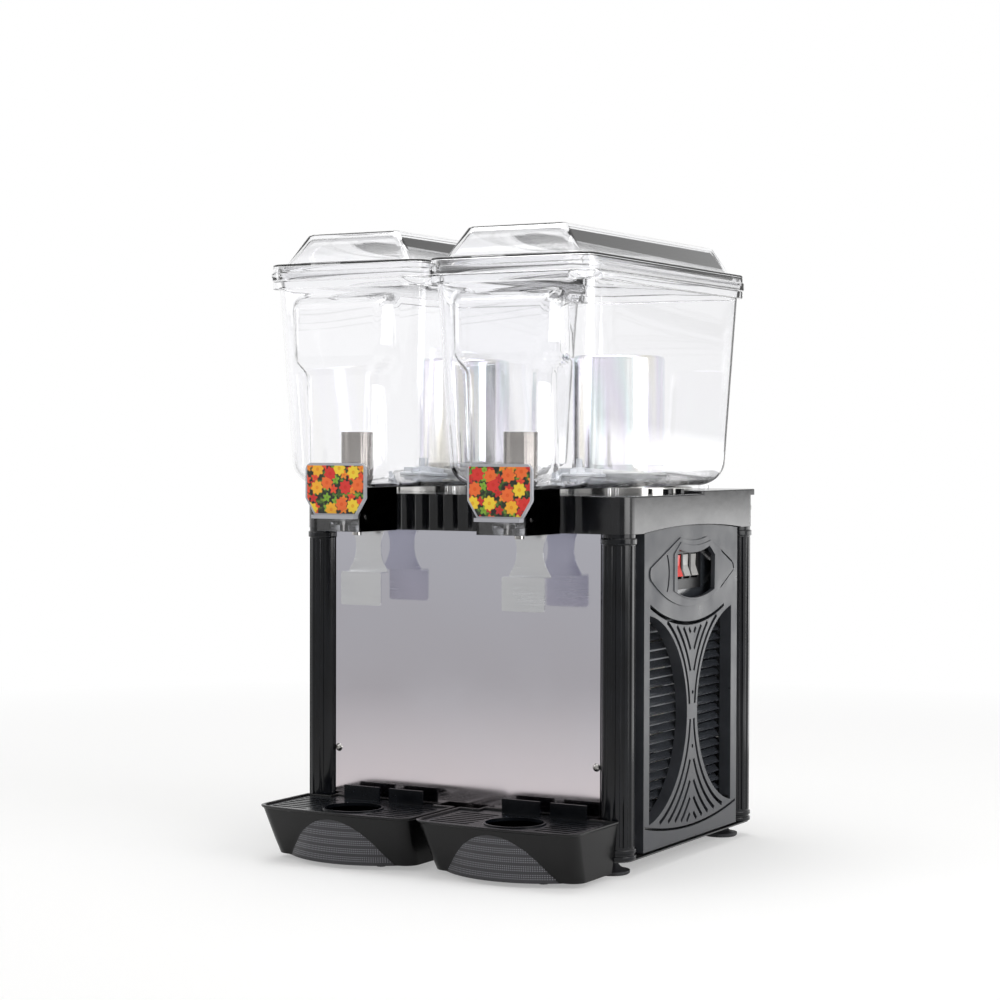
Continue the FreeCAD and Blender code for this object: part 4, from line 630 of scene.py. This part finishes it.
def tray_ring(hand, level, inset, bulged=False):
    """Points round a tray at a height: a tongue between the posts, straight sides, round front
    corners and a bowed front that draws in towards the foot and swells into the bulge."""
    # The front draws in 26 mm from rim to floor, and the sides by a share of that.
    lean = 0.026 * (TRAY_TOP - level) / (TRAY_TOP - TRAY_FLOOR)
    inner = TRAY_INNER + inset + lean * 0.35
    outer = TRAY_OUTER - inset - lean * 0.25
    nose = TRAY_NOSE - inset - lean
    # The bead keeps off the panel and the posts behind.
    clear = max(inset, 0.0)
    back, tongue_in, tongue_out = -TRAY_BACK - clear, TONGUE[0] + clear, TONGUE[1] - clear
    spots = [(tongue_out, -TONGUE_BACK - clear), (tongue_in, -TONGUE_BACK - clear),
             (tongue_in, back), (inner, back)]
    left, right, front = inner + TRAY_CORNER, outer - TRAY_CORNER, -nose + TRAY_CORNER
    for pivot, start in ((left, 180), (right, 270)):
        if pivot == right:
            spots += [(left + (right - left) * step / NOSE_CUTS, -nose) for step in range(1, NOSE_CUTS)]
        for step in range(TRAY_CORNER_CUTS + 1):
            angle = math.radians(start + 90 * step / TRAY_CORNER_CUTS)
            spots.append((pivot + TRAY_CORNER * math.cos(angle), front + TRAY_CORNER * math.sin(angle)))
    spots += [(outer, back), (tongue_out, back)]
    ring = []
    for number, (x, y) in enumerate(spots):
        if 3 < number < len(spots) - 2:
            # The front bows out 7 mm at its middle.
            across = (x - TRAY_MIDDLE) / 0.094
            y -= 0.007 * max(1 - across * across, 0) * eased(-y, 0.235, 0.25)
            side_run = BULGE_RADIUS ** 2 - (x - TRAY_MIDDLE) ** 2
            if bulged and side_run > 0:
                y = min(y, BULGE_RADIUS - BULGE_REACH - BULGE_LEAN * level - math.sqrt(side_run))
        ring.append((hand * x, y + FRAME_SHIFT, level))
    return ring


def drip_pan(side, finish):
    """A drip tray: a leaning pan with a bulge low on its front, a beaded rim, a ledge for the grid
    and four pads underneath."""
    name = "drip_tray_" + side
    hand = 1 if side == "right" else -1
    shape = bmesh.new()
    # The bead takes the top 3.4 mm of the wall.
    levels = [TRAY_FLOOR + (TRAY_TOP - 0.0034 - TRAY_FLOOR) * step / 40 for step in range(41)]
    rings = [tray_ring(hand, TRAY_FLOOR, 0.0015, True)]
    rings += [tray_ring(hand, max(level, TRAY_FLOOR + 0.0006), 0, True) for level in levels]
    rings += [tray_ring(hand, level, inset) for level, inset in (
        (0.0583, -0.0009), (0.0592, -0.0014), (0.0603, -0.0014), (0.0611, -0.0008), (TRAY_TOP, 0.0002),
        (TRAY_TOP, 0.0014), (0.061, 0.0022), (0.060, 0.0025), (GRID_UNDER, 0.0025), (GRID_UNDER, 0.005),
        (0.009, 0.0055), (0.0075, 0.0075))]
    rows = bridged(shape, rings)
    for row in (rows[0], rows[-1]):
        closed_between(shape, row)
    for across in (0.06, 0.14):
        for along in (-0.23, -0.18):
            pad = bridged(shape, [round_hole(hand * across, along, radius, level, 24) for radius, level in (
                (0.005, 0.0), (0.006, 0.001), (0.006, 0.0052))])
            for row in (pad[0], pad[-1]):
                shape.faces.new(row)
    piece = shaded(shape, "moulded_" + name, finish, name)
    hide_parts(name)


def moulded_colour(label, thing, code):
    """The property that holds the colour a thing is moulded in."""
    return bpy.props.FloatVectorProperty(
        name=label, description="Moulded colour of the " + thing, default=linear(code),
        subtype="COLOR", size=4)


class DISPENSER_PG_sizes(bpy.types.PropertyGroup):
    """Sizes and colours that a user would change."""

    post_colour: moulded_colour("Post colour", "corner posts", "#08090C")
    deck_colour: moulded_colour("Deck colour", "deck", "#0B0B0D")
    cover_colour: moulded_colour("Cover colour", "side covers", "#303236")
    switch_colour: moulded_colour("Switch colour", "cooling switch", "#D8322F")
    lens: bpy.props.FloatProperty(
        name="Lens", description="Focal length that matches the photograph's frame", default=83.122,
        unit="CAMERA")
    camera_turn: bpy.props.FloatProperty(
        name="Camera turn", description="How far round to the right the camera stands",
        default=math.radians(29.635), subtype="ANGLE")
    camera_dip: bpy.props.FloatProperty(
        name="Camera dip", description="How far down the camera looks", default=math.radians(1.317),
        subtype="ANGLE")
    camera_roll: bpy.props.FloatProperty(
        name="Camera roll", description="Tilt of the frame", default=math.radians(0.154), subtype="ANGLE")
    camera_place: bpy.props.FloatVectorProperty(
        name="Camera place", description="Where the camera stands", default=(1.28137, -2.28703, 0.45369),
        subtype="TRANSLATION")


class DISPENSER_OT_cabinet(bpy.types.Operator):
    """Finishes the base, posts, panels, deck, side covers and louvres"""

    bl_idname = "dispenser.cabinet"
    bl_label = "Cabinet"

    def execute(self, context):
        sizes = context.scene.dispenser_sizes
        dress(moulded_rubber("Rubber, moulded, black", "#17171A", "#3A3A3E"), "feet")
        dress(powder_coated_steel("Steel sheet, black powder coat", "#101012", "#1C1C1F"), "base_pan")
        dress(moulded_gloss_abs("ABS, gloss black posts", sizes.post_colour, "#121419", 0.12),
              *both("post_front", "post_rear"))
        dress(mirror_stainless("Stainless sheet, mirror polished"), "front_panel")
        dress(stainless_steel("Stainless sheet, brushed rear", "#B4B4B6", "#97989B", 0.34,
                              (0.06, 0.06, 0.0008), 0.15), "rear_panel")
        dress(moulded_gloss_abs("ABS, satin black side covers", sizes.cover_colour, "#3A3C41", 0.36,
                                ior=1.5), *both("side_cover"))
        dress(powder_coated_steel("Steel louvres, dark enamel", "#2A2C30", "#3C3F44", 0.2),
              *both("side_louvre"))
        dress(moulded_gloss_abs("ABS, gloss black deck", sizes.deck_colour, "#17181B", 0.13,
                                ior=1.58), "deck")
        return {"FINISHED"}


class DISPENSER_OT_bowls(bpy.types.Operator):
    """Moulds the clear bowls and lids, and finishes the stirrers and their magnets"""

    bl_idname = "dispenser.bowls"
    bl_label = "Bowls and lids"

    def execute(self, context):
        bowls = clear_polycarbonate("Polycarbonate, clear bowls", 2.0)
        lids = clear_polycarbonate("Polycarbonate, clear lids", 1.2)
        dress(bowls, *both("bowl"))
        dress(lids, *both("lid"))
        for side in SIDES:
            clear_bowl(side, bowls)
            clear_lid(side, lids)
        dress(moulded_satin_plastic("Acetal, natural stirrers", "#C9CBCF", "#DCDDE0", 0.3),
              *both("impeller"))
        dress(moulded_satin_plastic("Ferrite magnet, ground", "#232326", "#3A3A3D", 0.5),
              *both("drive_magnet"))
        return {"FINISHED"}


class DISPENSER_OT_coolers(bpy.types.Operator):
    """Finishes the evaporators, their dishes, seals and stirrer motors"""

    bl_idname = "dispenser.coolers"
    bl_label = "Coolers"

    def execute(self, context):
        dress(polished_evaporator("Stainless, polished evaporators"), *both("evaporator"))
        dress(stainless_steel("Stainless, polished dishes", "#D2D1CE", "#BBBAB8", 0.14,
                              (0.03, 0.03, 0.03), 0.04), *both("cooler_base"))
        dress(moulded_rubber("Silicone seals, white", "#C9C9C6", "#DADAD8"), *both("evaporator_seal"))
        dress(stainless_steel("Steel motor cans, zinc plated", "#A9A9AC", "#8C8C90", 0.38,
                              (0.01, 0.01, 0.01), 0.1), *both("stirrer_motor"), "fan_motor")
        return {"FINISHED"}


class DISPENSER_OT_taps(bpy.types.Operator):
    """Finishes the taps, paddles and spouts, and prints the tap covers"""

    bl_idname = "dispenser.taps"
    bl_label = "Taps"

    def execute(self, context):
        dress(stainless_steel("Stainless, turned tap pistons", "#948F8B", "#7D7975", 0.16,
                              (0.04, 0.04, 0.0006), 0.1), *both("tap_piston"))
        dress(stainless_steel("Stainless, polished spouts and pins", "#C9C7C4", "#AFADAB", 0.12,
                              (0.02, 0.02, 0.02), 0.03), *both("spout", "pivot_pin"))
        dress(stainless_steel("Stainless, brushed paddles", "#F4F4F6", "#E4E5E8", 0.22,
                              (0.05, 0.0012, 0.0012), 0.08), *both("paddle"))
        dress(moulded_rubber("Rubber tap seals, black", "#101012", "#242427"), *both("tap_seal"))
        dress(moulded_gloss_abs("ABS, gloss black levers", "#0B0B0D", "#151518", 0.2), *both("tap_lever"))
        for side in SIDES:
            name = "tap_cover_" + side
            low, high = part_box(name)
            dress(printed_cover("Printed panel, laminated, " + side, (low.x + high.x) / 2), name)
        return {"FINISHED"}


class DISPENSER_OT_trays(bpy.types.Operator):
    """Moulds the drip trays and finishes their grids"""

    bl_idname = "dispenser.trays"
    bl_label = "Drip trays"

    def execute(self, context):
        trays = stippled_tray("ABS, gloss black trays with stipple")
        dress(trays, *both("drip_tray"))
        for side in SIDES:
            drip_pan(side, trays)
        dress(moulded_gloss_abs("ABS, satin black grids", "#07090D", "#0E1218", 0.24, 0.0004, 1.33),
              *both("drip_grid"))
        return {"FINISHED"}


class DISPENSER_OT_refrigeration(bpy.types.Operator):
    """Finishes the compressor, condenser, fan and pipes"""

    bl_idname = "dispenser.refrigeration"
    bl_label = "Refrigeration"

    def execute(self, context):
        dress(powder_coated_steel("Steel compressor, black enamel", "#0B0B0D", "#1A1A1D", 0.25),
              "compressor")
        dress(finned_aluminium("Aluminium fins, bare"), "condenser")
        dress(copper_tube("Copper tube, drawn"), "refrigerant_pipes")
        dress(moulded_satin_plastic("Polypropylene fan, black", "#141416", "#222226"), "fan_blades")
        return {"FINISHED"}


class DISPENSER_OT_controls(bpy.types.Operator):
    """Finishes the switches, thermostat, power inlet and screws"""

    bl_idname = "dispenser.controls"
    bl_label = "Controls"

    def execute(self, context):
        dress(moulded_satin_plastic("Nylon, black switch housing", "#0B0B0C", "#151517", 0.35),
              "switch_housing")
        dress(moulded_gloss_abs("Polycarbonate, red rocker", context.scene.dispenser_sizes.switch_colour,
                                "#E2504A", 0.2, 0.0003), "rocker_cooling")
        dress(moulded_gloss_abs("ABS, light grey rockers", "#A9A8A6", "#BCBBB8", 0.25, 0.0003),
              *both("rocker_mixer"))
        dress(moulded_satin_plastic("Phenolic, thermostat body", "#4A4A4C", "#5E5E60"), "thermostat")
        dress(moulded_satin_plastic("ABS, satin grey knob", "#8E8F8D", "#A5A6A3", 0.35), "thermostat_knob")
        dress(moulded_satin_plastic("Nylon, black power inlet", "#111113", "#1D1D20"), "power_inlet")
        dress(stainless_steel("Steel screws, nickel plated", "#C4C2BF", "#A6A4A2", 0.2,
                              (0.004, 0.004, 0.004), 0.05), "screws")
        return {"FINISHED"}


class DISPENSER_OT_stage(bpy.types.Operator):
    """Sets the camera, the pale floor, the soft lamps and the world"""

    bl_idname = "dispenser.stage"
    bl_label = "Studio"

    def sheet(self, name, spot, size, turned):
        """A flat sheet about spot, size wide and deep, tipped up and turned about the vertical."""
        shape = bmesh.new()
        bmesh.ops.create_grid(shape, x_segments=1, y_segments=1, size=0.5)
        bmesh.ops.scale(shape, vec=(size[0], size[1], 1), verts=shape.verts)
        mesh = bpy.data.meshes.new(name)
        shape.to_mesh(mesh)
        shape.free()
        piece = bpy.data.objects.new(name, mesh)
        piece.location = spot
        piece.rotation_euler = (turned[0], 0, turned[1])
        bpy.context.scene.collection.objects.link(piece)
        return piece

    def execute(self, context):
        sizes = context.scene.dispenser_sizes
        turn, dip, roll = sizes.camera_turn, sizes.camera_dip, sizes.camera_roll
        ahead = Vector((-math.sin(turn) * math.cos(dip), math.cos(turn) * math.cos(dip), -math.sin(dip)))
        right = ahead.cross(Vector((0, 0, 1))).normalized()
        up = right.cross(ahead)
        level_right = math.cos(roll) * right + math.sin(roll) * up
        level_up = math.cos(roll) * up - math.sin(roll) * right
        data = bpy.data.cameras.new("Camera")
        data.sensor_width = 36
        data.lens = sizes.lens
        camera = bpy.data.objects.new("Camera", data)
        camera.matrix_world = Matrix.Translation(sizes.camera_place) @ Matrix(
            (level_right, level_up, -ahead)).transposed().to_4x4()
        context.scene.collection.objects.link(camera)
        context.scene.camera = camera
        context.scene.view_settings.view_transform = "Standard"

        floor = self.sheet("Floor", (0, 0, 0), (12, 12), (0, 0))
        finish, tree, where = blank("Studio paper, white")
        # Away from the object the paper fades from lit, with its shadow, to plain white.
        away = add(tree, "VectorMath", {0: where}, operation="LENGTH").outputs["Value"]
        plain = add(tree, "MapRange", {
            "Value": away, "From Min": 0.6, "From Max": 1.9, "To Min": 0.35, "To Max": 1.0})
        share = add(tree, "Math", {0: seen_rays(tree), 1: plain}, operation="MULTIPLY")
        # Gloss sees the paper in front in the shade of the front flag, so polished fronts stay deep.
        gloss = add(tree, "LightPath").outputs["Is Glossy Ray"]
        depth = add(tree, "SeparateXYZ", {"Vector": where}).outputs["Y"]
        shade = add(tree, "MapRange", {
            "Value": depth, "From Min": -0.1, "From Max": 0.5, "To Min": 1.0, "To Max": 0.0})
        dimmed = add(tree, "Math", {0: gloss, 1: shade}, operation="MULTIPLY")
        lit = add(tree, "MapRange", {"Value": dimmed, "To Min": 1.0, "To Max": 0.45})
        # Paper flecks of about 1 mm.
        fleck = add(tree, "TexNoise", {"Vector": where, "Scale": 900.0})
        tone = add(tree, "ValToRGB", {"Fac": fleck}, stops=((0.4, "#FAF9F8"), (0.6, "#FDFDFC")))
        paper = add(tree, "BsdfDiffuse", {"Color": tone})
        glow = add(tree, "Emission", {"Strength": lit})
        add(tree, "OutputMaterial", {"Surface": add(tree, "MixShader", {0: share, 1: paper, 2: glow})})
        floor.data.materials.append(finish)

        # Flags and reflectors that only gloss sees: grey in front, bright behind on the right. Each
        # has its place and size in metres, its tilt and turn in degrees, the heights that it fades
        # between, and how bright it is below and above them.
        for name, spot, size, turned, fade, strengths in (
                ("Flag front", (-0.4, -3.6, 1.3), (7.2, 2.8), (90, 0), (0, 1), (0.45, 0.5)),
                ("Flag right", (3.2, -2.3, 1.3), (2.7, 2.8), (90, 54), (0, 1), (0.2, 0.3)),
                ("Reflector right rear", (1.9, 2.6, 1.15), (2.6, 2.3), (90, 144),
                 (0.28, 0.345), (3.3, 0.5)),
                ("Reflector floor", (1.15, 1.5, 0.01), (1.9, 1.9), (0, -36), (0, 1), (2.2, 2.2))):
            card = self.sheet(name, spot, size, [math.radians(angle) for angle in turned])
            finish, tree, where = blank(name)
            height = add(tree, "SeparateXYZ", {"Vector": where}).outputs["Y"]
            level = add(tree, "MapRange", {
                "Value": height, "From Min": fade[0] - size[1] / 2, "From Max": fade[1] - size[1] / 2,
                "To Min": strengths[0], "To Max": strengths[1]})
            add(tree, "OutputMaterial", {"Surface": add(tree, "Emission", {"Strength": level})})
            card.data.materials.append(finish)
            for ray in ("camera", "diffuse", "transmission", "volume_scatter", "shadow"):
                setattr(card, "visible_" + ray, False)

        world = bpy.data.worlds.new("Studio")
        context.scene.world = world
        world.use_nodes = True
        tree = world.node_tree
        tree.nodes.clear()
        # The sky looks white and lights the object at about half of that.
        strength = add(tree, "MapRange", {"Value": seen_rays(tree), "To Min": 0.55, "To Max": 1.0})
        sky = add(tree, "Background", {"Color": (1, 1, 1, 1), "Strength": strength})
        add(tree, "OutputWorld", {"Surface": sky})

        # Lamps with their place and size in metres and their power in watts.
        for name, spot, size, power in (
                ("Softbox right", (2.3, -0.3, 1.0), 1.6, 26),
                ("Softbox top", (-0.2, 0.1, 2.6), 1.6, 26),
                ("Softbox left", (-2.0, -1.6, 1.1), 1.2, 9)):
            light = bpy.data.lights.new(name, "AREA")
            light.shape = "SQUARE"
            light.size = size
            light.energy = power
            lamp = bpy.data.objects.new(name, light)
            lamp.location = spot
            lamp.rotation_euler = (Vector((0, 0, 0.35)) - Vector(spot)).to_track_quat("-Z", "Y").to_euler()
            context.scene.collection.objects.link(lamp)
        return {"FINISHED"}


class DISPENSER_PT_panel(bpy.types.Panel):
    """Lists the steps that dress the dispenser"""

    bl_label = "Dispenser"
    bl_idname = "DISPENSER_PT_panel"
    bl_space_type = "VIEW_3D"
    bl_region_type = "UI"
    bl_category = "Dispenser"

    def draw(self, context):
        sizes = context.scene.dispenser_sizes
        for name in DISPENSER_PG_sizes.__annotations__:
            self.layout.prop(sizes, name)
        for step in STEPS:
            self.layout.operator(step.bl_idname)


STEPS = (
    DISPENSER_OT_stage,
    DISPENSER_OT_cabinet,
    DISPENSER_OT_bowls,
    DISPENSER_OT_coolers,
    DISPENSER_OT_taps,
    DISPENSER_OT_trays,
    DISPENSER_OT_refrigeration,
    DISPENSER_OT_controls,
)
CLASSES = (DISPENSER_PG_sizes, *STEPS, DISPENSER_PT_panel)


def register():
    for one in CLASSES:
        bpy.utils.register_class(one)
    bpy.types.Scene.dispenser_sizes = bpy.props.PointerProperty(type=DISPENSER_PG_sizes)


def unregister():
    del bpy.types.Scene.dispenser_sizes
    for one in reversed(CLASSES):
        bpy.utils.unregister_class(one)


def main():
    register()
    for step in STEPS:
        group, name = step.bl_idname.split(".")
        getattr(getattr(bpy.ops, group), name)()


if __name__ == "__main__":
    main()
